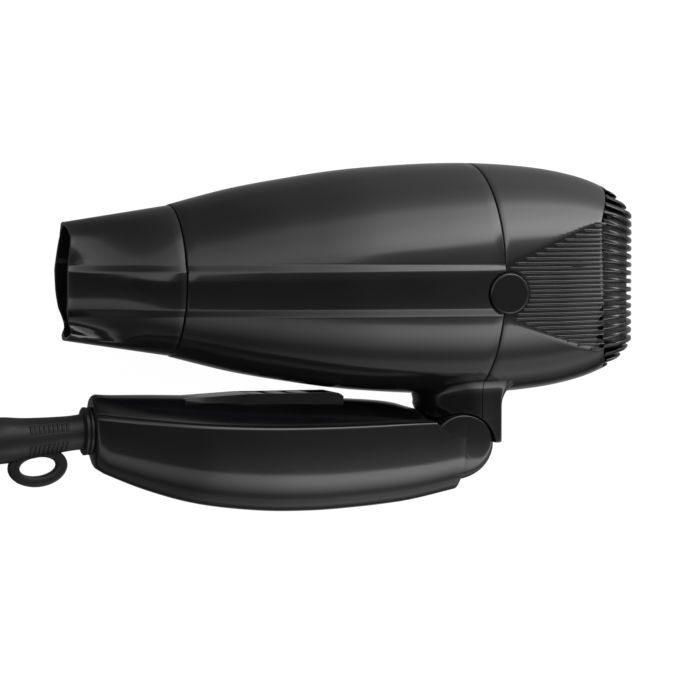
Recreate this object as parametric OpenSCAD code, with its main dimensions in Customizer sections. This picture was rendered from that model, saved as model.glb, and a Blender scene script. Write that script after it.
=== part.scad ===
// Folding travel hair dryer, lying on its side. Millimetres, +Z up.
// +X runs along the barrel to the intake, +Y from the handle to the barrel.
// Shapes are written about the barrel axis, then moved by place().

/* [Barrel] */
// Barrel radius at its widest
barrel_r = 38.5; // [30:0.5:50]
// Wall of the moulded shells
wall = 2; // [1.2:0.1:3]
// Joint between nozzle and barrel, along the axis
nozzle_seam_x = -59; // [-70:1:-50]
// Joint between barrel and rear cover
rear_seam_x = 43; // [35:1:50]
// Height of the side band above the barrel
band_rise = 0.7; // [0.3:0.1:1.5]
// Screw cap diameter
cap_d = 13; // [10:0.5:16]

/* [Nozzle] */
// Length of the nozzle beyond the joint
nozzle_len = 33.5; // [20:0.5:50]
// Height of the slot mouth
mouth_h = 38; // [30:0.5:44]
// Half width of the slot mouth at its middle
mouth_w = 10.4; // [7:0.2:14]

/* [Intake] */
// Number of slats in the intake grille
slats = 17; // [9:2:21]
// Pitch of the slats
slat_pitch = 3.2; // [2.5:0.1:5]
// Thickness of one slat
slat_t = 1.5; // [1:0.1:2]

/* [Handle] */
// Hinge centre, along and across the barrel axis
hinge_x = 36.5; // [30:0.5:45]
// Hinge centre below the barrel axis
hinge_y = -55.5; // [-60:0.5:-50]
// Radius of the knuckle
knuckle_r = 11.2; // [9:0.2:13]
// Half width of the knuckle and neck
knuckle_w = 17; // [14:0.5:20]
// Hinge pin diameter
pin_d = 4; // [3:0.5:6]
// Travel of the slide switch
switch_travel = 8; // [4:1:12]

/* [Fan and heater] */
// Fan diameter
fan_d = 56; // [40:1:60]
// Number of fan blades
blades = 7; // [5:1:11]
// Motor can diameter
motor_d = 24; // [20:1:28]
// Number of heater windings
windings = 6; // [3:1:8]

/* [Cord] */
// Cord diameter
cord_d = 6.3; // [5:0.1:8]
// Outer diameter of the coil
coil_d = 92; // [80:1:120]

/* [Plug] */
// Plug pin diameter
plug_pin_d = 4.8; // [4:0.1:5]
// Distance between the pins
plug_pitch = 19; // [18:0.1:20]
// Length of the pins
plug_pin_len = 19; // [18:0.1:20]

/* [Hidden] */
$fn = 64;
gap = 0.3;
off_x = 19.2;
off_y = 18.8;
// Barrel contour as position and radius
contour = [
    [-59, 24.7], [-50, 27.1], [-40, 29.6], [-30, 31.6],
    [-20, 33.3], [-10, 34.9], [0, 36.2], [10, 37.1],
    [20, 37.8], [30, 38.3], [40, 38.5], [50, 38.3],
    [60, 37.7], [70, 36.6], [78, 35.1], [84, 33.5],
    [89, 31.6], [92, 30.1], [95, 27.9], [98, 24.2],
    [99.8, 19.8], [100.5, 14], [100.8, 6]];
grow = barrel_r / 38.5;
function cx(i) = contour[i][0];
function cr(i) = contour[i][1] * grow;
band_lo = -11.1;
band_hi = 5.3;
flat_lo = -8.9;
flat_hi = 3.3;
cap_x = 44;
cap_y = -4;
cap_proud = 0.2;
face_z = barrel_r + band_rise;
facet = [[45, 37.5], [52, 36.5], [60, 34.8], [68, 32.5], [75, 29.7],
    [82, 26.5]];
rear_c = 72.7;
rear_r = 28.1;
crease_c = 39.3;
crease_r = 50;
filter_r = 18.2;
spigot_r = 19.8;
spigot_len = 6.2;
ring_in = spigot_r + gap;
ring_out = 21;
seam_r = 24.4;
fan_x = 48;
motor_x = 16;
motor_len = 27;
hub_r = motor_d / 2 + 1.5;
duct_r = fan_d / 2 + 2.6;
heater_x0 = -42;
heater_x1 = 14;
heater_r = 25;
coil_x = -172;
coil_y = -20;
off_z = face_z + cap_proud;
floor_z = -off_z;
relief_x = -139;
relief_y = -51.5;
plug_x = coil_x - 14;
plug_y = coil_y + 10;
plug_z = floor_z + 2 * cord_d + 8.55;

module place() {
    translate([off_x, off_y, off_z]) children();
}

module rod_x(x0, x1, r) {
    translate([x0, 0, 0]) rotate([0, 90, 0]) cylinder(h = x1 - x0, r = r);
}

module tube_x(x0, x1, r, t) {
    difference() {
        rod_x(x0, x1, r);
        rod_x(x0 - 1, x1 + 1, r - t);
    }
}

// Solid of revolution of the contour, shrunk by d, closed at both ends
module turned(d) {
    n = len(contour) - 1;
    pts = [for (i = [0 : n]) [cr(i) - d, cx(i) - ((i > n - 7) ? d : 0)]];
    ends = [[0, cx(n) - d], [0, cx(0)]];
    rotate([0, 90, 0]) rotate_extrude($fn = 96) polygon(concat(pts, ends));
}

// Plan of the rear, with the two inclined flats and the rounded end
module rear_plan(d) {
    arc = [for (a = [70 : -10 : -70])
        [rear_c + (rear_r - d) * cos(a), (rear_r - d) * sin(a)]];
    n = len(facet) - 1;
    flat_a = concat([[-90, 60], [facet[0][0], 60]],
        [for (p = facet) [p[0], p[1] - d]]);
    flat_b = concat([for (i = [n : -1 : 0]) [facet[i][0], d - facet[i][1]]],
        [[facet[0][0], -60], [-90, -60]]);
    rotate([90, 0, 0]) translate([0, 0, -60]) linear_extrude(120)
        polygon(concat(flat_a, arc, flat_b));
}

module body(d) {
    intersection() {
        turned(d);
        rear_plan(d);
    }
}

// Strip that follows the barrel contour at height h, between y0 and y1
module strip(h, y0, y1) {
    top = [for (i = [0 : 10]) [cx(i), cr(i) + h]];
    low = [for (i = [10 : -1 : 0]) [cx(i), cr(i) - 4]];
    translate([0, y1, 0]) rotate([90, 0, 0]) linear_extrude(y1 - y0)
        polygon(concat(top, [[rear_seam_x, barrel_r + h],
            [rear_seam_x, barrel_r - 4]], low));
}

module band() {
    strip(band_rise, flat_lo, flat_hi);
    strip(0.1, flat_lo - 1.1, flat_hi + 1);
    strip(-0.5, band_lo, band_hi);
}

module both_sides() {
    children();
    mirror([0, 0, 1]) children();
}

module cap_well() {
    translate([cap_x, cap_y, barrel_r - 3.6])
        cylinder(h = 8, d = cap_d + 1.2);
}

boss_lo = 30.8;
boss_hi = 34.9;

module screw_bore() {
    translate([cap_x, cap_y, boss_lo - 2]) cylinder(h = 16, d = 3);
}

module screw_boss() {
    difference() {
        translate([cap_x, cap_y, boss_lo])
            cylinder(h = 6.8, d = cap_d + 4);
        translate([cap_x, cap_y, boss_hi])
            cylinder(h = 8, d = cap_d + 1.2);
    }
}

// Outline of the neck between barrel and hinge
module neck_side() {
    polygon([[27, -30], [26, -37], [25.2, -41.5], [26.4, -44.6],
        [29.2, -47.6], [33, -53.5], [47, -54], [49.4, -53.9],
        [50.2, -52.6], [50.2, -43], [51.4, -40.4], [53.6, -38.2],
        [56, -37.4], [56, -30]]);
}

module neck_plan() {
    rotate([90, 0, 0]) translate([0, 0, 28]) linear_extrude(32) {
        translate([25 + knuckle_w, 0]) circle(r = knuckle_w);
        translate([25 + knuckle_w, -knuckle_w])
            square([22, 2 * knuckle_w]);
    }
}

module neck_solid() {
    difference() {
        intersection() {
            translate([0, 0, -knuckle_w])
                linear_extrude(2 * knuckle_w) neck_side();
            neck_plan();
        }
        translate([hinge_x, hinge_y, -30])
            cylinder(h = 60, r = knuckle_r + gap);
    }
}

// Room inside the neck for the hinge tongue
module neck_room() {
    translate([31, -46, -6]) cube([16, 16, 12]);
    translate([32.5, -52, -5.2]) cube([13.5, 20, 10.4]);
}

module front_half() {
    translate([-120, -100, -60]) cube([120 + rear_seam_x, 200, 120]);
}

module rear_half() {
    translate([rear_seam_x, -100, -60]) cube([100, 200, 120]);
}

module grille_zone(d) {
    translate([crease_c, 60, 0]) rotate([90, 0, 0])
        cylinder(h = 120, r = crease_r + d, $fn = 128);
}

module barrel_shell() {
    color("#191a1d") place() {
        difference() {
            union() {
                intersection() {
                    turned(0);
                    front_half();
                }
                both_sides() band();
                intersection() {
                    neck_solid();
                    front_half();
                }
                rod_x(nozzle_seam_x - spigot_len, nozzle_seam_x + 2, spigot_r);
            }
            intersection() {
                turned(wall);
                translate([nozzle_seam_x + 1.8, -60, -60])
                    cube([120, 120, 120]);
            }
            rod_x(nozzle_seam_x - spigot_len - 1, nozzle_seam_x + 3,
                spigot_r - 1.6);
            neck_room();
            both_sides() cap_well();
        }
        intersection() {
            both_sides() difference() {
                screw_boss();
                screw_bore();
            }
            front_half();
            turned(1);
        }
    }
}

module ribs() {
    n = 15;
    for (i = [-n : n])
        translate([40, -2.2 + i * 1.5, -40]) cube([48, 0.75, 80]);
}

// Ribbed wedge on the inclined flat of the rear cover
module rib_layer() {
    intersection() {
        rear_plan(-0.45);
        ribs();
        turned(0.35);
        difference() {
            translate([46, -60, -60]) cube([50, 120, 120]);
            rear_plan(0.5);
        }
        grille_zone(-0.3);
    }
}

module rear_cover() {
    color("#191a1d") place() {
        difference() {
            union() {
                intersection() {
                    body(0);
                    rear_half();
                    grille_zone(0);
                }
                rib_layer();
                intersection() {
                    neck_solid();
                    rear_half();
                }
            }
            body(wall);
            neck_room();
            both_sides() cap_well();
        }
        intersection() {
            both_sides() difference() {
                screw_boss();
                screw_bore();
            }
            rear_half();
            body(1);
        }
        tube_x(44, 60, duct_r, 1.2);
        intersection() {
            for (a = [45 : 90 : 315]) rotate([a, 0, 0])
                translate([46, duct_r - 0.6, -0.8]) cube([10, 8, 1.6]);
            body(wall - 0.5);
        }
    }
}

// Slats across the rounded end, on two posts, behind a rim
module intake_grille() {
    color("#121317") place() {
        intersection() {
            body(0);
            difference() {
                translate([60, -60, -60]) cube([60, 120, 120]);
                grille_zone(0.05);
            }
            union() {
                for (i = [0 : slats - 1])
                    translate([70, (i - (slats - 1) / 2) * slat_pitch
                        - slat_t / 2, -40]) cube([40, slat_t, 80]);
                difference() {
                    grille_zone(1.6);
                    body(wall);
                }
                for (s = [-1, 1])
                    translate([88, -40, s * 10 - 0.8]) cube([7.5, 80, 1.6]);
                difference() {
                    rod_x(60, 110, 60);
                    translate([0, -27.2 - slat_t / 2, -60])
                        cube([120, 54.4 + slat_t, 120]);
                    body(wall);
                }
            }
            difference() {
                rod_x(60, 110, 60);
                grille_core();
            }
        }
    }
}

// Space inside the grille, kept clear for the filter and the air
module grille_core() {
    intersection() {
        body(4.2);
        translate([40, -60, -60]) cube([70, 120, 120]);
    }
}

module intake_filter() {
    color("#33353a") place() translate([87.1, 0, 0]) rotate([0, 90, 0]) {
        difference() {
            cylinder(h = 0.9, r = filter_r);
            translate([0, 0, -1]) cylinder(h = 3, r = filter_r - 1.4);
        }
        intersection() {
            cylinder(h = 0.6, r = filter_r - 1);
            union() {
                for (i = [-4 : 4]) {
                    translate([i * 3.8 - 0.3, -22, 0]) cube([0.6, 44, 0.6]);
                    translate([-22, i * 3.8 - 0.3, 0]) cube([44, 0.6, 0.6]);
                }
            }
        }
    }
}

module side_caps() {
    color("#17181b") place() both_sides() {
        translate([cap_x, cap_y, boss_hi + 2.1])
            cylinder(h = face_z + cap_proud - boss_hi - 2.1, d = cap_d);
    }
}

module housing_screws() {
    color("#8f9398") place() both_sides() {
        translate([cap_x, cap_y, boss_lo])
            cylinder(h = boss_hi - boss_lo, d = 3);
        translate([cap_x, cap_y, boss_hi]) difference() {
            cylinder(h = 2, d = 5.6);
            translate([-2.5, -0.4, 1]) cube([5, 0.8, 2]);
            translate([-0.4, -2.5, 1]) cube([0.8, 5, 2]);
        }
    }
}

module outlet_grille() {
    color("#26272b") place() {
        tube_x(-57, -52, 22.5, 1.5);
        for (r = [7, 14]) tube_x(-56.4, -53.4, r + 0.6, 1.2);
        for (a = [0 : 45 : 315]) rotate([a, 0, 0])
            translate([-56, 1.5, -0.5]) cube([2.4, 19.8, 1]);
        rod_x(-56.4, -53.4, 2.4);
        for (a = [45 : 90 : 315]) rotate([a, 0, 0])
            translate([-55, 21.8, -3]) cube([3, 1.6, 6]);
    }
}

module heater_sleeve() {
    color("#c9b48a") place() {
        tube_x(heater_x0, heater_x1, heater_r + 1, 0.8);
    }
}

module wire_loops(t) {
    step = 7;
    for (i = [0 : windings - 1])
        translate([heater_x0 + 7 + i * step, 0, 0]) rotate([0, 90, 0])
            rotate_extrude() translate([21.5, 0]) circle(d = t, $fn = 24);
}

module heater_boards() {
    color("#d8c7a0") place() difference() {
        union() {
            translate([heater_x0 + 1, -24, -0.4])
                cube([48, 48, 0.8]);
            translate([heater_x0 + 1, -0.4, -24])
                cube([48, 0.8, 48]);
        }
        wire_loops(2.6);
        translate([-16, -30, -2]) cube([16, 14.5, 4]);
        translate([-38, 13.5, -2]) cube([14, 12, 4]);
    }
}

module heater_coils() {
    color("#b8b2a6") place() wire_loops(2);
}

module thermostat() {
    color("#b98b3a") place() {
        translate([-15, -15.4, -3]) cube([13, 3, 2.4]);
        translate([-14, -14.6, -4.4]) cube([11, 1.4, 1.2]);
        translate([-8.5, -13.9, -6.4]) cylinder(h = 2.2, d = 2.4);
    }
}

module thermal_fuse() {
    color("#c7b26a") place() {
        translate([-36.5, 12, 2.1]) rotate([0, 90, 0])
            cylinder(h = 9, d = 3);
        translate([-39, 12, 2.1]) rotate([0, 90, 0])
            cylinder(h = 14, d = 0.9);
    }
}

// Ring with straightening vanes that carries the motor
module fan_duct() {
    color("#2b2c31") place() {
        tube_x(14, 42.5, duct_r, 1.2);
        tube_x(14, 15.2, duct_r, duct_r - heater_r - 0.3);
        tube_x(14, 40, hub_r, 1.5);
        rod_x(13, 14.6, hub_r);
        for (a = [0 : 36 : 324]) rotate([a, 0, 0])
            translate([16, hub_r - 0.8, -0.6])
                cube([22, duct_r - hub_r, 1.2]);
        for (a = [45 : 90 : 315]) rotate([a, 0, 0])
            translate([17, duct_r - 0.6, -0.8]) cube([12, 5.2, 1.6]);
    }
}

module motor_can() {
    color("#a3a6aa") place() {
        tube_x(motor_x, motor_x + motor_len, motor_d / 2, 0.8);
        difference() {
            rod_x(motor_x, motor_x + 0.8, motor_d / 2);
            rod_x(motor_x - 1, motor_x + 2, 2.5);
        }
    }
}

module motor_end_cap() {
    color("#e8e4da") place() difference() {
        rod_x(motor_x + motor_len - 2.6, motor_x + motor_len,
            motor_d / 2 - 0.82);
        rod_x(motor_x + motor_len - 4, motor_x + motor_len + 2, 1.35);
    }
}

module motor_shaft() {
    color("#c9ccd0") place() {
        rod_x(motor_x + 3, fan_x + 8.5, 1);
        rod_x(motor_x + 6, motor_x + 20, 7.5);
    }
}

module fan_impeller() {
    color("#303237") place() {
        difference() {
            rod_x(fan_x - 1, fan_x + 10, 11);
            rod_x(fan_x - 2, fan_x + 8.5, 1);
            tube_x(fan_x - 2, fan_x + 7, 9.5, 6.5);
        }
        for (i = [0 : blades - 1]) rotate([i * 360 / blades, 0, 0])
            translate([fan_x + 4.5, 10.3, 0]) rotate([0, 38, 0])
                translate([-6, 0, -0.7])
                    cube([12, fan_d / 2 - 10.9, 1.4]);
    }
}

module rectifier_board() {
    color("#2f6b3a") place() {
        difference() {
            rod_x(11.4, 13, 12.8);
            rod_x(10, 14, 2.4);
        }
        for (s = [-1, 1]) translate([8.6, s * 6 - 1.4, -3])
            cube([2.8, 2.8, 6]);
    }
}

// Outline of the nozzle section at fraction t, 0 at the joint, 1 at the lip
mouth_y = [-1, -0.92, -0.8, -0.7, -0.57, -0.42, -0.2, 0.05, 0.35,
    0.58, 0.76, 0.89, 0.97];
mouth_z = [0.0, 0.62, 0.5, 0.4, 0.54, 0.74, 0.92, 1, 1.03,
    1.1, 1.06, 0.72, 0.32];
function half(t, d) = [for (i = [0 : len(mouth_y) - 1])
    let (a = -90 + 180 * i / len(mouth_y),
        r = seam_r - d,
        my = (mouth_h / 2 - d) * mouth_y[i],
        mz = max(mouth_w * mouth_z[i] - d, 0.5) * (i == 0 ? 0 : 1),
        s = t * t * (3 - 2 * t) * 0.9 + t * 0.1)
    [r * sin(a) * (1 - t) + my * t, r * cos(a) * (1 - s) + mz * s]];
function tip_y(t, d) = (seam_r - d) * (1 - t) + (mouth_h / 2 - d) * t;
function ring_of(h, top) = concat(h, [[top, 0]],
    [for (i = [len(h) - 1 : -1 : 1]) [h[i][0], -h[i][1]]]);
function ring_pts(t, d) = ring_of(half(t, d), tip_y(t, d));
// The same section with the flat band standing proud between its edges
band_z = [0, 1, 1, 1, 1, 0];
band_y = [flat_lo - 0.6, flat_lo, -5, -1, flat_hi, flat_hi + 0.6];
function ring_banded(t) = let (
    h = concat(half(t, 0), [[tip_y(t, 0), 0]]),
    low = h[0][0], top = tip_y(t, 0), n = 6,
    under = [for (k = [0 : n - 1])
        low + (band_y[0] - low) * (1 - cos(90 * k / n))],
    over = [for (k = [1 : n])
        band_y[5] + (top - band_y[5]) * sin(84 * k / n)])
    ring_of(concat(
        [for (y = under) [y, lookup(y, h)]],
        [for (i = [0 : 5]) [band_y[i],
            lookup(band_y[i], h) + band_rise * band_z[i]]],
        [for (y = over) [y, lookup(y, h)]]), top);
// Faces between n rings of m points
function side_faces(n, m) = [for (k = [0 : n - 2]) for (j = [0 : m - 1])
    [k * m + (j + 1) % m, k * m + j, (k + 1) * m + j,
        (k + 1) * m + (j + 1) % m]];
function lip_x(t, y) = nozzle_seam_x - 0.25 - nozzle_len * t
    - 1.5 * t * (1 - pow(y / 22, 2));

// Loft through sections given as [fraction, points]; each end is closed by
// flat strips across the slot, because the lip is arched
module nozzle_rows(rings) {
    rows = [for (r = rings) [for (p = r[1]) [lip_x(r[0], p[0]), p[0], p[1]]]];
    m = len(rows[0]);
    h = m / 2;
    e = (len(rows) - 1) * m;
    strips = concat([[0, 1, m - 1]],
        [for (i = [1 : h - 2]) [i, i + 1, m - i - 1, m - i]],
        [[h - 1, h, h + 1]]);
    ends = [for (s = strips)
        [for (j = [len(s) - 1 : -1 : 0]) e + s[j]]];
    polyhedron(points = [for (r = rows) for (p = r) p],
        faces = concat(strips, side_faces(len(rows), m), ends));
}

module nozzle_outer() {
    n = 8;
    nozzle_rows([for (k = [0 : n]) [k / n, ring_banded(k / n)]]);
}

// Cavity of the nozzle, from behind the clip ring out past the lip
module nozzle_inner() {
    n = 8;
    t0 = 0.18;
    t1 = 1.02;
    nozzle_rows([for (k = [0 : n]) let (t = t0 + (t1 - t0) * k / n)
        [t, ring_pts(min(t, 1), wall + 0.5 - 1.2 * t)]]);
}

module nozzle_shell() {
    color("#191a1d") place() difference() {
        nozzle_outer();
        nozzle_inner();
        rod_x(nozzle_seam_x - 7, nozzle_seam_x + 1, ring_out + gap);
    }
}

module nozzle_clip_ring() {
    color("#202126") place() {
        tube_x(nozzle_seam_x - 5.8, nozzle_seam_x - 0.6, ring_out,
            ring_out - ring_in);
    }
}

// Lug fixed in the neck, reaching into the knuckle
module hinge_tongue() {
    color("#3a3c42") place() difference() {
        union() {
            translate([hinge_x, hinge_y, -4.6]) cylinder(h = 9.2, r = 6.4);
            translate([hinge_x - 3.5, hinge_y, -4.6]) cube([9, 19, 9.2]);
            translate([31, -43.6, -6]) cube([16, 3.6, 12]);
        }
        translate([hinge_x, hinge_y, -10])
            cylinder(h = 20, d = pin_d + 0.1);
        translate([hinge_x + 0.7, hinge_y + 7, -3.4]) cube([3.6, 20, 6.8]);
    }
}

module hinge_pin() {
    color("#b4b7bb") place() translate([hinge_x, hinge_y, -14])
        cylinder(h = 28, d = pin_d);
}

module detent_spring() {
    color("#a9adb2") place()
        translate([hinge_x - 8.6, hinge_y - 5.4, -4.4])
            cube([0.8, 10.8, 8.8]);
}

// Handle stations: position, parting height, belly, half width, crown
stations = [
    [-85, -42.2, -56.5, 7.4, -37.4],
    [-83.5, -42.4, -60.4, 9, -36.4],
    [-79, -42.9, -62.9, 10.9, -36.7],
    [-66, -44.2, -68.2, 14.8, -36.9],
    [-50, -45.6, -72.8, 17.7, -37.4],
    [-30, -46.5, -75.5, 19, -38.2],
    [-12, -46.7, -76.1, 19, -38.9],
    [4, -46.5, -75.4, 18.8, -39.6],
    [16, -46.2, -74.4, 18.4, -40.8],
    [24, -46.1, -73.4, 17.8, -43]];

// One station ring of the outer shell, shrunk by d
function shell_ring(s, d) = let (yp = s[1], yb = s[2] + d, w = s[3] - d)
    [for (k = [0 : 12]) let (a = 180 * k / 12,
        c = cos(a), q = sin(a),
        zz = w * sign(c) * pow(abs(c), 0.62),
        yy = yp - (yp - yb) * pow(q, 0.72))
    [s[0], yy, zz]];
function cover_ring(s, d) = let (yp = s[1], yt = s[4] - d, w = s[3] - d)
    [for (k = [0 : 12]) let (a = 180 * k / 12,
        c = cos(a), q = sin(a),
        zz = -w * sign(c) * pow(abs(c), 0.75),
        yy = yp + (yt - yp) * pow(q, 0.85))
    [s[0], yy, zz]];

module station_loft(rows) {
    m = len(rows[0]);
    n = len(rows);
    first = [[for (j = [0 : m - 1]) j]];
    last = [[for (j = [m - 1 : -1 : 0]) (n - 1) * m + j]];
    polyhedron(points = [for (r = rows) for (p = r) p],
        faces = concat(first, side_faces(n, m), last));
}

function grown(s, g) = [s[0], s[1] + g, s[2], s[3], s[4]];

module shell_loft(d) {
    rows = [for (s = stations) shell_ring(grown(s, d > 0 ? 0.1 : 0), d)];
    ext = concat(rows, [shell_ring([skirt_x, -46.2, -70.6, knuckle_w,
        -43], d)]);
    station_loft(ext);
}

module cover_loft(d) {
    rows = [for (s = stations) cover_ring(grown(s, d > 0 ? -0.1 : 0), d)];
    station_loft(rows);
}

skirt_x = 37.6;
relief_end_y = -48.2;
screws = [[-61, 8.2, -39.4], [-61, -8.2, -39.4], [19, 0, -42.3]];

module at_screws() {
    for (p = screws) translate([p[0], 0, p[1]]) children();
}

// Post along Y from y0 to y1
module post(y0, y1, d) {
    translate([0, y0, 0]) rotate([-90, 0, 0]) cylinder(h = y1 - y0, d = d);
}

module cord_hole() {
    translate([-90, relief_end_y, 0]) rotate([0, 90, 0])
        cylinder(h = 12, d = 9.4);
}

module shell_room() {
    intersection() {
        translate([-83, -100, -30]) cube([106, 100, 60]);
        shell_loft(wall);
    }
}

module neck_relief() {
    translate([0, 0, -30]) linear_extrude(60)
        polygon([[24.7, -40], [24.7, -45.2], [28.9, -48.4], [33, -52],
            [skirt_x + 1, -52], [skirt_x + 1, -40]]);
}

module handle_shell() {
    color("#17181b") place() difference() {
        union() {
            difference() {
                shell_loft(0);
                shell_room();
                neck_relief();
            }
            translate([hinge_x, hinge_y, -knuckle_w])
                cylinder(h = 2 * knuckle_w, r = knuckle_r);
            intersection() {
                at_screws() post(-80, -60.2, 9);
                shell_loft(0.5);
            }
        }
        translate([hinge_x, hinge_y, -14]) cylinder(h = 28, d = pin_d);
        translate([hinge_x, hinge_y, -5]) cylinder(h = 10, r = 6.9);
        translate([hinge_x - 4.2, hinge_y, -5]) cube([30, 20, 10]);
        translate([hinge_x, hinge_y - 6.4, -5]) cube([20, 10, 10]);
        translate([hinge_x - 8.6, hinge_y - 5.4, -4.4])
            cube([4, 10.8, 8.8]);
        at_screws() post(-80, -62, 5.4);
        at_screws() post(-80, -60, 2.8);
        cord_hole();
    }
}

module switch_slot(x0, x1, w, y0) {
    translate([x0, y0, -w]) cube([x1 - x0, 20, 2 * w]);
}

module handle_cover() {
    color("#0f1013") place() difference() {
        union() {
            difference() {
                cover_loft(0);
                intersection() {
                    translate([-83, -100, -30]) cube([105, 100, 60]);
                    cover_loft(wall);
                }
            }
            bezel();
            for (p = screws) translate([p[0], 0, p[1]])
                post(-60, p[2], 7);
        }
        switch_slot(-34.2, -11.8 + switch_travel, 7.3, -41.5);
        switch_slot(-30, -16 + switch_travel, 3.2, -44);
        at_screws() post(-61, -50, 2.6);
        cord_hole();
    }
}

// Raised frame of the slide switch
module bezel() {
    translate([0, 0, -8.6]) linear_extrude(17.2)
        polygon([[-56, -37.4], [-35, -36.8], [-3, -36.9], [-2.2, -38],
            [-2.2, -42.4], [-35, -42.4], [-56, -39.5]]);
}

module handle_screws() {
    color("#8f9398") place() at_screws() {
        post(-62, -50.5, 2.6);
        post(-63.8, -62, 5);
    }
}

module switch_knob() {
    color("#1c1d21") place() {
        translate([-33.6, -41.2, -6.9]) cube([21, 1.9, 13.8]);
        for (i = [0 : 2]) translate([-33.6 + i * 7.5, -39.4, -6.9])
            cube([6, 2.5, 13.8]);
        translate([-25.6, -46, -2.6]) cube([5, 5.4, 5.2]);
    }
}

module switch_body() {
    color("#2a2c55") place() difference() {
        translate([-36, -56, -8.5]) cube([34, 11.4, 17]);
        translate([-27.4, -48, -3]) cube([17, 8, 6]);
    }
}

module capacitor() {
    color("#c8a02c") place() translate([0, -64, -9]) cube([14, 10, 18]);
}

module cord_clamp() {
    color("#2f3136") place() {
        difference() {
            translate([-74, -57, -8]) cube([7, 4.6, 16]);
            translate([-75, relief_end_y, 0]) rotate([0, 90, 0])
                cylinder(h = 10, d = cord_d + 0.1);
            for (s = [-1, 1]) translate([-70.5, -60, s * 6])
                rotate([-90, 0, 0]) cylinder(h = 12, d = 2.4);
        }
    }
}

module clamp_screws() {
    color("#8f9398") place() for (s = [-1, 1]) {
        translate([-70.5, -57, s * 6]) rotate([-90, 0, 0])
            cylinder(h = 8, d = 2.4);
        translate([-70.5, -58.6, s * 6]) rotate([-90, 0, 0])
            cylinder(h = 1.6, d = 4.6);
    }
}

module terminal_block() {
    color("#d9d7cf") place() translate([-59, -58, -5.5]) cube([11, 8, 11]);
}

module handle_wires() {
    color("#7a2a22") place() for (q = [-1, 1]) {
        tube([[-47.9, -54, q * 3], [-46, -54, q * 3],
            [-42, -54.6, q * 3], [-38, -54, q * 3],
            [-36.1, -54, q * 3]], 2, 4);
        tube([[-66.9, -48.4, q * 1.6], [-65.8, -48.4, q * 1.6],
            [-63.4, -50, q * 2.4], [-61.6, -53, q * 2.9],
            [-60.4, -54, q * 3], [-59.1, -54, q * 3]], 2, 4);
        tube([[-1.9, -51, q * 6], [0, -51, q * 6], [8, -50.6, q * 6.4],
            [14, -51, q * 6], [21.5, -53, q * 4]], 2, 4);
    }
}

module barrel_wires() {
    color("#30558f") place() for (q = [-1, 1])
        tube([[39, -46, q * 2.2], [39, -39, q * 2.2], [36, -34.8, q * 2.4],
            [28, -33.4, q * 2.6], [16, -33, q * 2.6],
            [10, -31, q * 2.6], [7, -27.1, q * 2.6]], 1.8, 4);
}

relief_path = [[-87.2, -48.2, 5.8], [-93, -48.9, 5.7], [-106, -50.2, 6.7],
    [-114.5, -50.6, 7.5], [-122, -51, 6.8], [-130, -51.3, 5.2],
    [-139, -51.5, 4.2]];

module relief_sleeve() {
    n = len(relief_path);
    m = 24;
    pts = [for (p = relief_path) for (j = [0 : m - 1])
        [p[0], p[1] + p[2] * cos(j * 360 / m), p[2] * sin(j * 360 / m)]];
    sides = [for (k = [0 : n - 2]) for (j = [0 : m - 1])
        [k * m + j, k * m + (j + 1) % m, (k + 1) * m + (j + 1) % m,
            (k + 1) * m + j]];
    first = [[for (j = [m - 1 : -1 : 0]) j]];
    last = [[for (j = [0 : m - 1]) (n - 1) * m + j]];
    polyhedron(points = pts, faces = concat(first, sides, last));
}

// Rubber sleeve with collar, fine ribs and an oval hanging loop
module strain_relief() {
    color("#1e1f22") place() {
        difference() {
            union() {
                relief_sleeve();
                translate([-87.4, relief_end_y, 0]) rotate([0, 90, 0])
                    cylinder(h = 2.3, d = 15.6);
                translate([-85.2, relief_end_y, 0]) rotate([0, 90, 0])
                    cylinder(h = 5, d = 9.2);
                loop_solid();
            }
            loop_hole();
            translate([-75, relief_end_y, 0]) rotate([0, -90, 0])
                cylinder(h = 12, d = cord_d);
        }
    }
}

module loop_solid() {
    translate([-102.4, -59.2, -2.2]) linear_extrude(4.4) union() {
        translate([-3.2, 0]) circle(r = 6.4);
        translate([3.2, 0]) circle(r = 6.4);
        translate([-3.2, -6.4]) square([6.4, 12.8]);
    }
}

module loop_hole() {
    translate([-102.4, -59.2, -12]) linear_extrude(24) union() {
        translate([-3, 0]) circle(r = 3);
        translate([3, 0]) circle(r = 3);
        translate([-3, -3]) square([6, 6]);
    }
}

// Round tube swept through hand-laid points
function curve(p, n) = [for (i = [0 : len(p) - 2]) for (k = [0 : n - 1])
    let (t = k / n, a = p[max(i - 1, 0)], b = p[i], c = p[i + 1],
        e = p[min(i + 2, len(p) - 1)])
    0.5 * ((2 * b) + (c - a) * t + (2 * a - 5 * b + 4 * c - e) * t * t
        + (3 * b - a - 3 * c + e) * t * t * t)];
module tube(p, d, n) {
    c = concat(curve(p, n), [p[len(p) - 1]]);
    m = 10;
    q = len(c);
    pts = [for (i = [0 : q - 1]) let (
        v = i == 0 ? p[1] - p[0]
            : i == q - 1 ? p[len(p) - 1] - p[len(p) - 2]
            : c[i + 1] - c[i - 1],
        u = v / norm(v),
        w0 = cross(u, [0, 1, 0.01]), w = w0 / norm(w0),
        s = cross(w, u))
        for (j = [0 : m - 1])
            c[i] + d / 2 * (cos(j * 360 / m) * w + sin(j * 360 / m) * s)];
    sides = [for (k = [0 : q - 2]) for (j = [0 : m - 1])
        [k * m + j, k * m + (j + 1) % m, (k + 1) * m + (j + 1) % m,
            (k + 1) * m + j]];
    first = [[for (j = [m - 1 : -1 : 0]) j]];
    last = [[for (j = [0 : m - 1]) (q - 1) * m + j]];
    polyhedron(points = pts, faces = concat(first, sides, last));
}

run_z = floor_z + cord_d / 2 + 0.05;
coil_wide = 3 * cord_d;
coil_mid = (coil_d - coil_wide) / 2;
coil_top = 2 * cord_d;
edge_r = coil_d / 2 + cord_d / 2 + 0.02;

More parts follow.
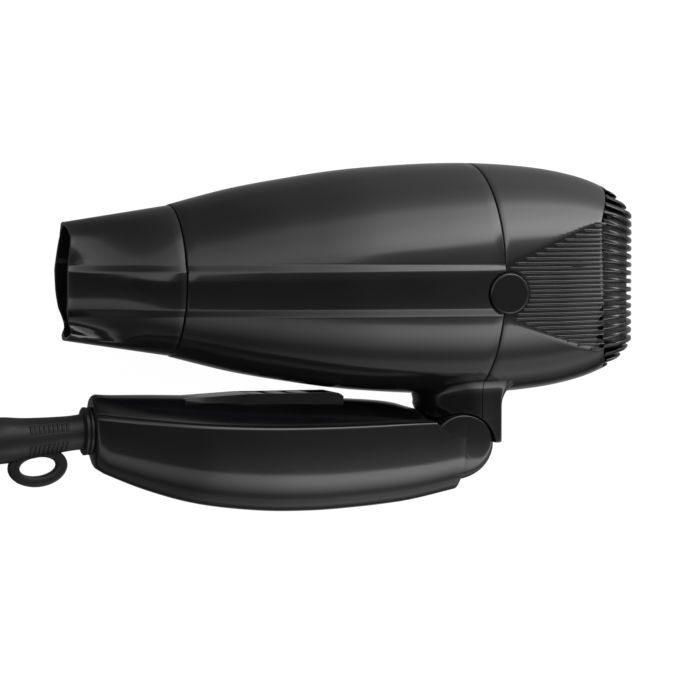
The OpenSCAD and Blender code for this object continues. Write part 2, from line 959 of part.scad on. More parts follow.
module cord_inlet() {
    color("#17181a") place() translate([-86.8, relief_end_y, 0])
        rotate([0, 90, 0]) cylinder(h = 19.8, d = cord_d - 0.02);
}

module cord_tail() {
    color("#17181a") place() tube([[relief_x, relief_y, 0],
        [-143, relief_y, 0], [-151, -54.5, -2.5], [-160, -61, -8],
        [-169, -68, -17], [-179, -72, -27], [-189, -69, -34.4],
        [coil_x + edge_r * cos(232), coil_y + edge_r * sin(232), run_z]],
        cord_d, 8);
}

module cord_coil() {
    w = coil_wide / 2;
    c = 1.6;
    color("#17181a") place()
        translate([coil_x, coil_y, floor_z + 0.05]) rotate_extrude($fn = 72)
            translate([coil_mid, 0]) polygon([[-w, c], [c - w, 0],
                [w - c, 0], [w, c], [w, coil_top - c], [w - c, coil_top],
                [c - w, coil_top], [-w, coil_top - c]]);
}

module cord_tie() {
    w = coil_wide / 2;
    color("#101113") place()
        translate([coil_x, coil_y + coil_mid, floor_z + 0.05]) difference() {
            translate([-4, -w - 1.4, 0])
                cube([8, 2 * w + 2.4, coil_top + 1]);
            translate([-5, -w - 0.4, -1])
                cube([10, 2 * w + 0.4, coil_top + 1]);
        }
}

module cord_lead() {
    color("#17181a") place() tube([[plug_x - 40, plug_y, plug_z],
        [plug_x - 43, plug_y, plug_z], [-239, -14.6, -20.5],
        [-248, -26, -28], [-250, -38, -34], [-246, -50, run_z],
        [-236, -59, run_z], [-222, -62.7, -33], [-208, -62.9, -29.6],
        [-198, -62.9, -29.6]], cord_d, 4);
}

module plug_place() {
    place() translate([plug_x, plug_y, plug_z]) mirror([1, 0, 0]) children();
}

module plug_body() {
    color("#141517") plug_place() {
        hull() {
            translate([-8, -8.5, -8]) cube([2, 17, 16]);
            for (s = [-1, 1]) translate([0, s * 9.5, -8.5])
                cylinder(h = 17, r = 8, $fn = 32);
            translate([24, 0, -6]) cylinder(h = 12, r = 6, $fn = 32);
        }
        translate([24, 0, 0]) rotate([0, 90, 0])
            cylinder(h = 16, d1 = 11.5, d2 = 8);
    }
}

module plug_pins() {
    color("#c7a555") plug_place()
        for (s = [-1, 1]) translate([-8, s * plug_pitch / 2, 0])
            rotate([0, -90, 0]) {
                cylinder(h = plug_pin_len - plug_pin_d / 2, d = plug_pin_d);
                translate([0, 0, plug_pin_len - plug_pin_d / 2])
                    sphere(d = plug_pin_d);
            }
}

module plug_pin_sleeves() {
    color("#202124") plug_place()
        for (s = [-1, 1]) translate([-8, s * plug_pitch / 2, 0])
            rotate([0, -90, 0]) difference() {
                cylinder(h = 10, d = plug_pin_d + 0.5);
                translate([0, 0, -1]) cylinder(h = 12, d = plug_pin_d);
            }
}

barrel_shell();
rear_cover();
intake_grille();
intake_filter();
side_caps();
housing_screws();
outlet_grille();
heater_sleeve();
heater_boards();
heater_coils();
thermostat();
thermal_fuse();
fan_duct();
motor_can();
motor_end_cap();
motor_shaft();
fan_impeller();
rectifier_board();
nozzle_shell();
nozzle_clip_ring();
hinge_tongue();
hinge_pin();
detent_spring();
handle_shell();
handle_cover();
handle_screws();
switch_knob();
switch_body();
capacitor();
cord_clamp();
clamp_screws();
terminal_block();
handle_wires();
barrel_wires();
strain_relief();
cord_inlet();
cord_tail();
cord_coil();
cord_tie();
cord_lead();
plug_body();
plug_pins();
plug_pin_sleeves();
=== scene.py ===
# Folding travel hair dryer on a pale floor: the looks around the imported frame.
# The CAD part lies on its side. Shapes are written in millimetres about the barrel
# axis, +X to the intake, +Y from handle to barrel, +Z to the camera, and at() places them.
import math

import bmesh
import bpy
from mathutils import Matrix, Vector


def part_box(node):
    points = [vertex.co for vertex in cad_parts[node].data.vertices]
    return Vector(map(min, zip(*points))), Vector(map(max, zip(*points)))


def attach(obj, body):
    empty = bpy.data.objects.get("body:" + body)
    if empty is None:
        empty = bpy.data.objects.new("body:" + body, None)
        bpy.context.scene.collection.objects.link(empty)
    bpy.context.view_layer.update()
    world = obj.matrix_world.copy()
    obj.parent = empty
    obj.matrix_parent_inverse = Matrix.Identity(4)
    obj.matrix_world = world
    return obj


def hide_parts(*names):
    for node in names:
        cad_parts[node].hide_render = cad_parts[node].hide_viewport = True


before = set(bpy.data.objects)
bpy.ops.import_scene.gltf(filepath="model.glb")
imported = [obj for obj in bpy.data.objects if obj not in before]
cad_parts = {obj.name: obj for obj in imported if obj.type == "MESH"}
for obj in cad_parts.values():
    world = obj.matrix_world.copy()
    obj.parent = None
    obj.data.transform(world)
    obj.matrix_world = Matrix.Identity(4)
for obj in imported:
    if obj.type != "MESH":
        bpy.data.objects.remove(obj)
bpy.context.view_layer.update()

MM = 0.001
SEAM_X = -59.0
RING_TO_SEAM = 0.6
ring_low, ring_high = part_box("nozzle_clip_ring")
AXIS = Vector((ring_high.x + (RING_TO_SEAM - SEAM_X) * MM,
               (ring_low.y + ring_high.y) / 2, (ring_low.z + ring_high.z) / 2))
FLOOR = -AXIS.z / MM


def at(x, y, z):
    """A point about the barrel axis, in mm, as a point of the row frame."""
    return AXIS + Vector((x, y, z)) * MM


def show(name, data):
    """A new object of the scene."""
    obj = bpy.data.objects.new(name, data)
    bpy.context.scene.collection.objects.link(obj)
    return obj


# ---------------------------------------------------------------- camera
YAW, PITCH = math.radians(17.5), math.radians(2.7)
DISTANCE = 920.0
LENS = 148.5
SHIFT_RIGHT, SHIFT_UP = -1.51, -19.42


def make_camera():
    back = Vector((-math.sin(YAW) * math.cos(PITCH), math.sin(PITCH),
                   math.cos(YAW) * math.cos(PITCH)))
    right = Vector((math.cos(YAW), 0, math.sin(YAW)))
    up = back.cross(right)
    place = back * DISTANCE + right * SHIFT_RIGHT + up * SHIFT_UP
    data = bpy.data.cameras.new("camera")
    data.lens, data.sensor_width = LENS, 36.0
    camera = show("camera", data)
    turn = Matrix((right, up, back)).transposed().to_4x4()
    camera.matrix_world = Matrix.Translation(at(*place)) @ turn
    bpy.context.scene.camera = camera


make_camera()


# ---------------------------------------------------------------- materials
def new_material(name):
    material = bpy.data.materials.new(name)
    material.use_nodes = True
    tree = material.node_tree
    return material, tree, tree.nodes["Principled BSDF"]


def feed(tree, node, sockets):
    """Gives a node's sockets plain values, or links them to other nodes' outputs."""
    for key, value in sockets.items():
        if isinstance(value, bpy.types.NodeSocket):
            tree.links.new(value, node.inputs[key])
        else:
            node.inputs[key].default_value = value


def add_node(tree, kind, sockets, **settings):
    node = tree.nodes.new("ShaderNode" + kind)
    for key, value in settings.items():
        setattr(node, key, value)
    feed(tree, node, sockets)
    return node


def noise(tree, scale, detail=3.0, stretch=(1, 1, 1)):
    """Noise in object space, so that the grain stays on the piece."""
    where = add_node(tree, "TexCoord", {}).outputs["Object"]
    turned_to = add_node(tree, "Mapping", {"Vector": where, "Scale": stretch})
    return add_node(tree, "TexNoise", {"Vector": turned_to.outputs["Vector"], "Scale": scale,
                                       "Detail": detail}).outputs["Fac"]


def span(tree, source, low, high, start=0.3, end=0.7):
    """Spreads a source's range from start to end over low to high."""
    return add_node(tree, "MapRange", {"Value": source, "From Min": start, "From Max": end,
                                       "To Min": low, "To Max": high}).outputs["Result"]


def blend_colour(tree, source, dark, light):
    """Mixes a colour, or another node's output, with a lighter colour."""
    if not isinstance(dark, bpy.types.NodeSocket):
        dark = (*dark, 1)
    return add_node(tree, "Mix", {"Factor": source, "A": dark, "B": (*light, 1)},
                    data_type="RGBA").outputs["Result"]


def bump(tree, shader, height, strength, distance):
    node = add_node(tree, "Bump", {"Strength": strength, "Distance": distance, "Height": height})
    feed(tree, shader, {"Normal": node.outputs["Normal"]})


def plastic(name, dark, light, rough, grain=900.0, relief=0.02, metal=0.0,
            stretch=(1, 1, 1), depth=0.00003, shine=0.5):
    """Moulded plastic, rubber or metal: colour drift, uneven gloss and a fine grain."""
    material, tree, shader = new_material(name)
    slow = noise(tree, 60.0, 2.0)
    fine = noise(tree, grain, 3.0, stretch)
    shade = blend_colour(tree, span(tree, slow, 0, 1), dark, light)
    feed(tree, shader, {"Base Color": shade, "Roughness": span(tree, fine, *rough),
                        "Metallic": metal, "Specular IOR Level": shine})
    bump(tree, shader, fine, relief, depth)
    return material


def worn_gloss(name, dark, light, rough):
    """Polished black plastic with faint wiping marks and lighter worn edges."""
    material, tree, shader = new_material(name)
    slow = noise(tree, 45.0, 2.0)
    wipes = noise(tree, 260.0, 4.0, (0.12, 1, 1))
    edge = add_node(tree, "NewGeometry", {}).outputs["Pointiness"]
    base = blend_colour(tree, span(tree, slow, 0, 1), dark, light)
    worn = blend_colour(tree, span(tree, edge, 0, 0.5, 0.52, 0.62), base, (0.05, 0.05, 0.052))
    feed(tree, shader, {"Base Color": worn, "Roughness": span(tree, wipes, *rough)})
    bump(tree, shader, wipes, 0.02, 0.00001)
    return material


def woven(name, dark, light, pitch, rough):
    """A fine wire or cloth weave made by two crossed waves."""
    material, tree, shader = new_material(name)
    where = add_node(tree, "TexCoord", {}).outputs["Object"]
    waves = [add_node(tree, "TexWave", {"Scale": 0.31 / pitch, "Vector": where},
                      bands_direction=direction).outputs["Fac"] for direction in "YZ"]
    both = add_node(tree, "Math", dict(enumerate(waves)), operation="MULTIPLY").outputs["Value"]
    feed(tree, shader, {"Base Color": blend_colour(tree, both, dark, light),
                        "Roughness": span(tree, both, *rough)})
    bump(tree, shader, both, 0.4, 0.0002)
    return material


GLOSS = worn_gloss("gloss_black", (0.007, 0.007, 0.008), (0.010, 0.010, 0.011), (0.09, 0.15))
COVER = worn_gloss("dark_cover", (0.004, 0.004, 0.005), (0.007, 0.007, 0.008), (0.13, 0.2))
GRILLE = plastic("grille_black", (0.004, 0.004, 0.005), (0.007, 0.007, 0.008), (0.14, 0.2),
                 relief=0.01, depth=0.00001)
RUBBER = plastic("soft_black", (0.006, 0.006, 0.007), (0.010, 0.010, 0.011), (0.4, 0.52),
                 grain=1500.0, relief=0.12, shine=0.3)
CORD_SKIN = plastic("cord_skin", (0.012, 0.012, 0.013), (0.020, 0.020, 0.021), (0.30, 0.42),
                    grain=1200.0, relief=0.08)
PLUG_SKIN = plastic("plug_skin", (0.012, 0.012, 0.013), (0.019, 0.019, 0.020), (0.28, 0.4),
                    grain=2200.0, relief=0.2)
TIE_CLOTH = woven("tie_cloth", (0.006, 0.006, 0.007), (0.03, 0.03, 0.032), 0.0008, (0.7, 0.9))
MESH_WIRE = woven("filter_weave", (0.001, 0.001, 0.001), (0.02, 0.02, 0.022), 0.0011, (0.4, 0.6))

CAD_LOOKS = {
    "outlet_grille": plastic("inner_black", (0.02, 0.02, 0.022), (0.03, 0.03, 0.032), (0.4, 0.55)),
    "housing_screws": plastic("screw_steel", (0.42, 0.43, 0.45), (0.58, 0.59, 0.6), (0.2, 0.35),
                              metal=1.0, stretch=(1, 8, 1)),
    "heater_sleeve": plastic("mica_sheet", (0.55, 0.44, 0.26), (0.76, 0.66, 0.48), (0.35, 0.6),
                             grain=500.0, relief=0.3),
    "heater_coils": plastic("heater_wire", (0.30, 0.27, 0.24), (0.52, 0.5, 0.46), (0.3, 0.5),
                            metal=1.0),
    "thermostat": plastic("contact_brass", (0.55, 0.40, 0.16), (0.75, 0.6, 0.3), (0.2, 0.36),
                          metal=1.0),
    "motor_can": plastic("motor_steel", (0.5, 0.51, 0.53), (0.66, 0.67, 0.69), (0.22, 0.36),
                         metal=1.0, stretch=(1, 10, 1)),
    "motor_end_cap": plastic("white_plastic", (0.74, 0.72, 0.66), (0.84, 0.82, 0.77), (0.4, 0.55)),
    "rectifier_board": plastic("board_green", (0.05, 0.2, 0.08), (0.08, 0.28, 0.12), (0.3, 0.5),
                               grain=1800.0, relief=0.2),
    "switch_body": plastic("switch_blue", (0.08, 0.09, 0.22), (0.12, 0.13, 0.29), (0.4, 0.55)),
    "capacitor": plastic("capacitor_yellow", (0.66, 0.48, 0.08), (0.78, 0.6, 0.14), (0.3, 0.45)),
    "handle_wires": plastic("wire_red", (0.35, 0.06, 0.05), (0.46, 0.1, 0.08), (0.35, 0.5)),
    "barrel_wires": plastic("wire_blue", (0.07, 0.16, 0.42), (0.1, 0.21, 0.52), (0.35, 0.5)),
}
SAME_LOOK = {
    "outlet_grille": ("fan_duct", "fan_impeller", "nozzle_clip_ring", "hinge_tongue", "cord_clamp"),
    "housing_screws": ("hinge_pin", "detent_spring", "handle_screws", "clamp_screws",
                       "motor_shaft"),
    "heater_sleeve": ("heater_boards",),
    "thermostat": ("thermal_fuse", "plug_pins"),
    "motor_end_cap": ("terminal_block",),
}


def paint(obj, material):
    obj.data.materials.clear()
    obj.data.materials.append(material)


for model, look in CAD_LOOKS.items():
    for node in (model, *SAME_LOOK.get(model, ())):
        paint(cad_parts[node], look)
paint(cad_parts["cord_inlet"], CORD_SKIN)
paint(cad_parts["plug_pin_sleeves"], PLUG_SKIN)


# ---------------------------------------------------------------- mesh helpers
def piece(name, points, faces, body, material, slot, nodes=(), sharp=32.0):
    """A closed mesh from points in mm, riding a body and standing for CAD nodes."""
    obj = solid(name, points, faces, sharp)
    dress(obj, body, material, nodes)
    return obj


def solid(name, points, faces, sharp=30.0):
    mesh = bpy.data.meshes.new(name)
    mesh.from_pydata([at(*p) for p in points], [], faces)
    obj = show(name, mesh)
    tidy_mesh(obj, sharp)
    return obj


def tidy_mesh(obj, sharp):
    """Welds the poles, turns all faces outwards and shades smooth below an angle."""
    shape = bmesh.new()
    shape.from_mesh(obj.data)
    bmesh.ops.remove_doubles(shape, verts=shape.verts, dist=1e-7)
    bmesh.ops.dissolve_degenerate(shape, edges=shape.edges, dist=1e-8)
    bmesh.ops.recalc_face_normals(shape, faces=shape.faces)
    shape.to_mesh(obj.data)
    shape.free()
    refine(obj, sharp)


def refine(obj, sharp=32.0):
    """Shades smooth, apart from edges sharper than an angle in degrees."""
    obj.data.shade_smooth()
    obj.data.set_sharp_from_angle(angle=math.radians(sharp))


def dress(obj, body, material, nodes=()):
    paint(obj, material)
    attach(obj, body)
    if nodes:
        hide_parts(*nodes)


def grid_faces(rows, count, wrap_rows=False):
    """Quads between rings of count points; wrap_rows joins the last ring to the first."""
    total = rows if wrap_rows else rows - 1
    return [(r * count + (j + 1) % count, r * count + j,
             (r + 1) % rows * count + j, (r + 1) % rows * count + (j + 1) % count)
            for r in range(total) for j in range(count)]


def loft(rings, wrap=False):
    """Points and faces through rings of equal length, capped unless wrapped."""
    count, points = len(rings[0]), [p for ring in rings for p in ring]
    faces = grid_faces(len(rings), count, wrap)
    if not wrap:
        faces.append(tuple(range(count)))
        faces.append(tuple(range(len(points) - 1, len(points) - 1 - count, -1)))
    return points, faces


def add(points, faces, part):
    """Adds a part's points and faces to the lists of a bigger shape."""
    base = len(points)
    points += part[0]
    faces += [tuple(base + i for i in face) for face in part[1]]


def mirrored(half):
    """A section from one rim to the other, from the half that ends at its middle."""
    return half + [(y, -z) for y, z in reversed(half[:-1])]


def boundary(low, high, inside):
    """The value between low and high at which inside(value) turns false."""
    for _ in range(40):
        middle = (low + high) / 2
        low, high = (middle, high) if inside(middle) else (low, middle)
    return low


def turned(profile, steps=96, centre=(0.0, 0.0), axis="x"):
    """Revolves a closed profile of (along, radius) about a line along X or Z."""
    rings = []
    for k in range(steps):
        a = 2 * math.pi * k / steps
        c, s = math.cos(a), math.sin(a)
        if axis == "x":
            rings.append([(u, centre[0] + r * c, centre[1] + r * s) for u, r in profile])
        else:
            rings.append([(centre[0] + r * c, centre[1] + r * s, u) for u, r in profile])
    return loft(rings, wrap=True)


def smooth_line(points, per):
    """Catmull-Rom line through points, with per steps between each two."""
    line = []
    for i in range(len(points) - 1):
        a, b = Vector(points[max(i - 1, 0)]), Vector(points[i])
        c, d = Vector(points[i + 1]), Vector(points[min(i + 2, len(points) - 1)])
        for k in range(per):
            t = k / per
            line.append(0.5 * (2 * b + (c - a) * t + (2 * a - 5 * b + 4 * c - d) * t * t
                               + (3 * b - a - 3 * c + d) * t ** 3))
    return line + [Vector(points[-1])]


def between(table, x):
    """Straight-line reading of a table of (position, value)."""
    for (x0, v0), (x1, v1) in zip(table, table[1:]):
        if x <= x1:
            return v0 + (v1 - v0) * max(0.0, (x - x0) / (x1 - x0))
    return table[-1][1]


def cut(obj, tool):
    """Takes a tool's volume out of obj and deletes the tool."""
    step = obj.modifiers.new("cut", "BOOLEAN")
    step.operation, step.solver, step.object = "DIFFERENCE", "EXACT", tool
    bpy.context.view_layer.update()
    graph = bpy.context.evaluated_depsgraph_get()
    mesh = bpy.data.meshes.new_from_object(obj.evaluated_get(graph))
    obj.modifiers.clear()
    obj.data = mesh
    bpy.data.objects.remove(tool)


# ---------------------------------------------------------------- cord
CORD = 6.3
RUN = FLOOR + CORD / 2 + 0.05
COIL_X, COIL_Y = -172.0, -20.0
RELIEF_END = (-139.0, -51.5, 0.0)
TAIL = [RELIEF_END, (-143, -51.5, 0), (-151, -54.5, -2.5), (-160, -61, -8),
        (-169, -68, -17), (-179, -72, -27), (-189, -69, -34.4)]
PLUG_X, PLUG_Y = COIL_X - 14, COIL_Y + 10
PLUG_Z = FLOOR + 2 * CORD + 8.55
LEAD = [(-198, -62.9, -29.6), (-208, -62.9, -29.6), (-222, -62.7, -33), (-236, -59, RUN),
        (-246, -50, RUN), (-250, -38, -34), (-248, -26, -28), (-239, -14.6, -20.5),
        (PLUG_X - 43, PLUG_Y, PLUG_Z), (PLUG_X - 40, PLUG_Y, PLUG_Z)]


def coil_point(turns):
    """Six turns: three inwards on the floor, then three outwards on top of them."""
    angle = math.radians(232 - 360 * turns)
    if turns < 3:
        radius, height = 49.17 - CORD * turns, RUN
        height += (CORD + 0.05) * max(0.0, (turns - 2.82) / 0.18)
    else:
        radius = min(30.27 + CORD * (turns - 3), 42.85)
        height = RUN + CORD + 0.1
    return (COIL_X + radius * math.cos(angle), COIL_Y + radius * math.sin(angle), height)


COIL_TURNS = 5.894
STEPS_PER_TURN = 40


def cord_line():
    tail = smooth_line(TAIL + [coil_point(0)], 4)
    count = round(COIL_TURNS * STEPS_PER_TURN)
    coil = [Vector(coil_point(COIL_TURNS * k / count)) for k in range(1, count + 1)]
    return tail + coil + smooth_line(LEAD, 4)


def make_cord():
    line = cord_line()
    curve = bpy.data.curves.new("mains_cord", "CURVE")
    curve.dimensions = "3D"
    curve.bevel_depth = CORD / 2 * MM
    curve.bevel_resolution = 6
    curve.use_fill_caps = True
    spline = curve.splines.new("POLY")
    spline.points.add(len(line) - 1)
    for point, place in zip(spline.points, line):
        point.co = (*at(place.x, place.y, max(place.z, RUN)), 1)
    cord = show("mains_cord", curve)
    dress(cord, "handle", CORD_SKIN, ("cord_tail", "cord_coil", "cord_lead"))
    length = sum((b - a).length for a, b in zip(line, line[1:])) * MM
    return cord, round(length, 2)


cord, CORD_LENGTH = make_cord()


# ---------------------------------------------------------------- barrel body
CONTOUR = [(-59, 24.7), (-50, 27.1), (-40, 29.6), (-30, 31.6), (-20, 33.3), (-10, 34.9),
           (0, 36.2), (10, 37.1), (20, 37.8), (30, 38.3), (40, 38.5), (50, 38.3), (60, 37.7),
           (70, 36.6), (78, 35.1), (84, 33.5), (89, 31.6), (92, 30.1), (95, 27.9),
           (98, 24.2), (99.8, 19.8), (100.5, 14), (100.8, 6)]
SMOOTH = [(p.x, p.y) for p in smooth_line([(x, r, 0) for x, r in CONTOUR], 8)]
WALL = 2.0
REAR_X = 43.0
GAP = 0.15
BAND_LOW, FLAT_LOW, FLAT_HIGH, BAND_HIGH = -11.1, -8.9, 3.3, 5.3
BAND_RISE = 0.7
CAP_X, CAP_Y, CAP_R = 44.0, -4.0, 6.5
CAP_FACE = 39.4
CAP_GAP = 0.8


def radius(x):
    return between(SMOOTH, x)


def fillet(before, corner, after, reach, steps=4):
    """Rounds one corner of a 2-D line, with a support point on each side."""
    c = Vector(corner)
    a = (Vector(before) - c).normalized()
    b = (Vector(after) - c).normalized()
    start, end = c + a * reach, c + b * reach
    points = [c + a * reach * 1.5]
    for k in range(steps + 1):
        t = k / steps
        points.append(start * (1 - t) ** 2 + c * 2 * t * (1 - t) + end * t * t)
    return points + [c + b * reach * 1.5]


def banded_half(base, flat, low, high, reach=0.45):
    """(y, z) points of one half section with the flat band standing on it."""
    eps = 0.6
    corners = [(BAND_LOW, base(BAND_LOW)), (FLAT_LOW, flat(FLAT_LOW)),
               (FLAT_HIGH, flat(FLAT_HIGH)), (BAND_HIGH, base(BAND_HIGH))]
    line = []
    steps = 22
    for k in range(1, steps + 1):
        y = low + (BAND_LOW - eps - low) * (1 - math.cos(math.pi / 2 * k / steps))
        line.append(Vector((y, base(y))))
    line += fillet((BAND_LOW - eps, base(BAND_LOW - eps)), corners[0], corners[1], reach)
    line += fillet(corners[0], corners[1], (FLAT_LOW + eps, flat(FLAT_LOW + eps)), reach)
    for k in range(1, 6):
        y = FLAT_LOW + (FLAT_HIGH - FLAT_LOW) * k / 6
        line.append(Vector((y, flat(y))))
    line += fillet((FLAT_HIGH - eps, flat(FLAT_HIGH - eps)), corners[2], corners[3], reach)
    line += fillet(corners[2], corners[3], (BAND_HIGH + eps, base(BAND_HIGH + eps)), reach)
    for k in range(0, steps):
        y = BAND_HIGH + eps + (high - BAND_HIGH - eps) * math.sin(math.pi / 2 * k / steps)
        line.append(Vector((y, base(y))))
    return line


def closed_ring(half, low, high):
    """A whole section from its +Z half: bottom point, half, top point, mirrored half."""
    ring = [(low, 0.0)] + [(p[0], p[1]) for p in half] + [(high, 0.0)]
    return ring + [(p[0], -p[1]) for p in reversed(half)]


def barrel_ring(x, inset=0.0):
    r = radius(x)
    half = banded_half(lambda y: math.sqrt(max(r * r - y * y, 0)),
                       lambda y: math.sqrt(r * r - y * y) + BAND_RISE, -r, r)
    shrink = (r - inset) / r
    return [(x, y * shrink, z * shrink) for y, z in closed_ring(half, -r, r)]


def round_ring(x, r, model):
    """A circle of radius r whose points lie at the model ring's angles."""
    angles = [math.atan2(y, z) for _, y, z in model]
    return [(x, r * math.sin(a), r * math.cos(a)) for a in angles]


SPIGOT_R, SPIGOT_BORE = 19.8, 18.2
SPIGOT_X = SEAM_X - 6.2


def make_barrel():
    front, back = SEAM_X, REAR_X - GAP
    rings = [barrel_ring(front, 0.45), barrel_ring(front + 0.06, 0.2),
             barrel_ring(front + 0.2, 0.05), barrel_ring(front + 0.45)]
    rings += [barrel_ring(front + 0.45 + (back - front - 0.8) * k / 34) for k in range(1, 34)]
    rings += [barrel_ring(back - 0.35), barrel_ring(back - 0.15, 0.05),
              barrel_ring(back - 0.04, 0.16), barrel_ring(back, 0.4)]
    model = barrel_ring(front)
    for k in range(12):
        x = back - (back - front - WALL) * k / 11
        rings.append(round_ring(x, radius(x) - WALL, model))
    spigot = [(front + WALL, SPIGOT_BORE), (SPIGOT_X, SPIGOT_BORE), (SPIGOT_X, SPIGOT_R - 0.3),
              (SPIGOT_X + 0.3, SPIGOT_R), (front, SPIGOT_R)]
    rings += [round_ring(x, r, model) for x, r in spigot]
    barrel = piece("barrel_body", *loft(rings, wrap=True), "barrel", GLOSS, "gloss_black",
                   ("barrel_shell",))
    cut_wells(barrel)


WELL_FLOOR, WELL_TOP = 37.0, 46.0


def cut_wells(obj):
    """Round wells for the screw caps, on both sides."""
    for side in (1, -1):
        r = CAP_R + CAP_GAP
        profile = [(WELL_FLOOR * side, 0.02), (WELL_TOP * side, 0.02), (WELL_TOP * side, r),
                   (WELL_FLOOR * side, r)]
        cut(obj, solid("tool", *turned(profile, 72, (CAP_X, CAP_Y), "z")))
    refine(obj)


make_barrel()


# ---------------------------------------------------------------- rear cover
FACET = [(43, 37.7), (45, 37.5), (52, 36.5), (60, 34.8), (68, 32.5), (75, 29.7), (80, 27.4),
         (82, 26.5)]
FACET_SMOOTH = [(p.x, p.y) for p in smooth_line([(x, z, 0) for x, z in FACET], 8)]
ROUND_C, ROUND_R = 72.7, 28.1
CREASE_C, CREASE_R = 39.3, 50.0
TILT = 0.09


def facet_depth(x):
    """Half width of the flattened side at a station along the body."""
    if x < FACET[-1][0]:
        return between(FACET_SMOOTH, x)
    return math.sqrt(max(ROUND_R ** 2 - (x - ROUND_C) ** 2, 0.01))


def facet_z(x, y):
    depth = facet_depth(x)
    return depth + TILT * y * min(1.0, depth / FACET[-1][1])


def rear_radius(x, angle):
    """Distance of the surface from the axis; angle 0 points to +Z."""
    r = radius(x)
    c, s = abs(math.cos(angle)), math.sin(angle)
    tilt = TILT * min(1.0, facet_depth(x) / FACET[-1][1])
    reach = c - tilt * s
    if reach <= 0:
        return r
    return min(r, facet_depth(x) / reach)


def crease_x(angle, grow=0.0):
    """Where the surface at an angle meets the upright crease cylinder."""
    def inside(x):
        z = rear_radius(x, angle) * math.cos(angle)
        return (x - CREASE_C) ** 2 + z * z < (CREASE_R + grow) ** 2

    return boundary(60.0, 100.0, inside)


REAR_STEPS = 240
REAR_ANGLES = [2 * math.pi * k / REAR_STEPS for k in range(REAR_STEPS)]


def rear_ring(start, fraction, inset, grow=0.0, back=0.0):
    ring = []
    for angle in REAR_ANGLES:
        x = start + (crease_x(angle, grow) - back - start) * fraction
        r = rear_radius(x, angle) - inset
        ring.append((x, r * math.sin(angle), r * math.cos(angle)))
    return ring


def make_rear():
    front = REAR_X + GAP
    rings = [rear_ring(front, 0, 0.4), rear_ring(front + 0.04, 0, 0.16),
             rear_ring(front + 0.15, 0, 0.05), rear_ring(front + 0.35, 0, 0)]
    rings += [rear_ring(front + 0.35, k / 22, 0, 0, 0.3) for k in range(1, 22)]
    rings += [rear_ring(front, 1, 0, 0, 0.3), rear_ring(front, 1, 0.08, 0, 0.1),
              rear_ring(front, 1, 0.3, 0, 0)]
    rings += [rear_ring(front, 1 - k / 8, WALL) for k in range(9)]
    rear = piece("rear_body", *loft(rings, wrap=True), "barrel", GLOSS, "gloss_black",
                 ("rear_cover",))
    cut_wells(rear)


make_rear()
RIB_PITCH, RIB_HEIGHT, RIB_WIDTH = 1.5, 0.55, 0.95
RIB_FIRST, RIB_COUNT = -22.9, 28


def rib_start(y):
    """First station where the flattened side lies under the round surface."""
    x = REAR_X + 1.2
    while x < 95:
        r = radius(x)
        if math.sqrt(max(r * r - y * y, 0)) > facet_z(x, y) + RIB_HEIGHT * 0.3:
            return x
        x += 0.1
    return 95.0


def rib_end(y):
    x = 95.0
    while x > 60:
        if (x - CREASE_C) ** 2 + facet_z(x, y) ** 2 < CREASE_R ** 2:
            return x
        x -= 0.02
    return 60.0


def rib(y, side, points, faces):
    """One raised rib along the flattened side, stopped short of the screw cap."""
    start, end = rib_start(y), rib_end(y) - 0.05
    if abs(y - CAP_Y) < CAP_R + CAP_GAP + 0.3:
        reach = (CAP_R + CAP_GAP + 0.3) ** 2 - (y - CAP_Y) ** 2
        start = max(start, CAP_X + math.sqrt(reach))
    if end - start < 1.5:
        return
    stations = [start, start + 0.5, start + 1.2, (start + end) / 2, end - 0.3, end]
    heights = [-0.25, 0.6, 1.0, 1.0, 1.0, 0.75]
    rings = []
    for x, h in zip(stations, heights):
        ring = []
        for k in range(9):
            a = math.pi * k / 8
            dy = RIB_WIDTH / 2 * math.cos(a)
            lift = RIB_HEIGHT * h * math.sin(a) ** 0.7
            ring.append((x, y + dy, side * (facet_z(x, y) + lift)))
        ring.append((x, y - RIB_WIDTH / 2, side * (facet_z(x, y) - 0.4)))
        ring.append((x, y + RIB_WIDTH / 2, side * (facet_z(x, y) - 0.4)))
        rings.append(ring)
    add(points, faces, loft(rings))


def make_ribs():
    for side, name in ((1, "side_ribs_a"), (-1, "side_ribs_b")):
        points, faces = [], []
        for k in range(RIB_COUNT):
            rib(RIB_FIRST + k * RIB_PITCH, side, points, faces)
        piece(name, points, faces, "barrel", GRILLE, "grille_black")


make_ribs()


# ---------------------------------------------------------------- intake grille
SLATS, SLAT_PITCH, SLAT_THICK, SLAT_DEEP = 21, 3.2, 1.6, 2.4
CONVERGE, DROP = 0.17, 1.3
CRESCENT_LEVEL = 33.6
SLAT_SHORTEST = 0.3
TAIL_X = 100.8
POST_Y, POST_Z, POST_FRONT, POST_BACK = 27.0, 10.0, 91.5, 95.5


def outline_point(angle, height, inset=0.0):
    """Plan point of the body's surface at a height, seen from the rounding's centre."""
    def inside(reach):
        x, z = ROUND_C + reach * math.cos(angle), reach * math.sin(angle)
        return x < TAIL_X and z * z + height * height < radius(x) ** 2

    reach = boundary(2.0, ROUND_R, inside) - inset
    return ROUND_C + reach * math.cos(angle), reach * math.sin(angle)


def slat_level(height, x):
    """Height of a slat at X: the slats draw together and drop towards the back."""
    along = max(0.0, (x - 82) / 18.8)
    return height * (1 - CONVERGE * along) - DROP * along


def slat_point(angle, height, inset=0.0):
    """Point of a slat's path on the body's surface, with its height there."""
    level = height
    for _ in range(4):
        level = slat_level(height, outline_point(angle, abs(level))[0])
    return (*outline_point(angle, abs(level), inset), level)


def slat_limit(height):
    """Angle at which a slat meets the crease."""
    def behind_crease(angle):
        x, z, _ = slat_point(angle, height)
        return (x - CREASE_C) ** 2 + z * z > (CREASE_R + 0.12) ** 2

    return boundary(0.0, math.radians(100), behind_crease)


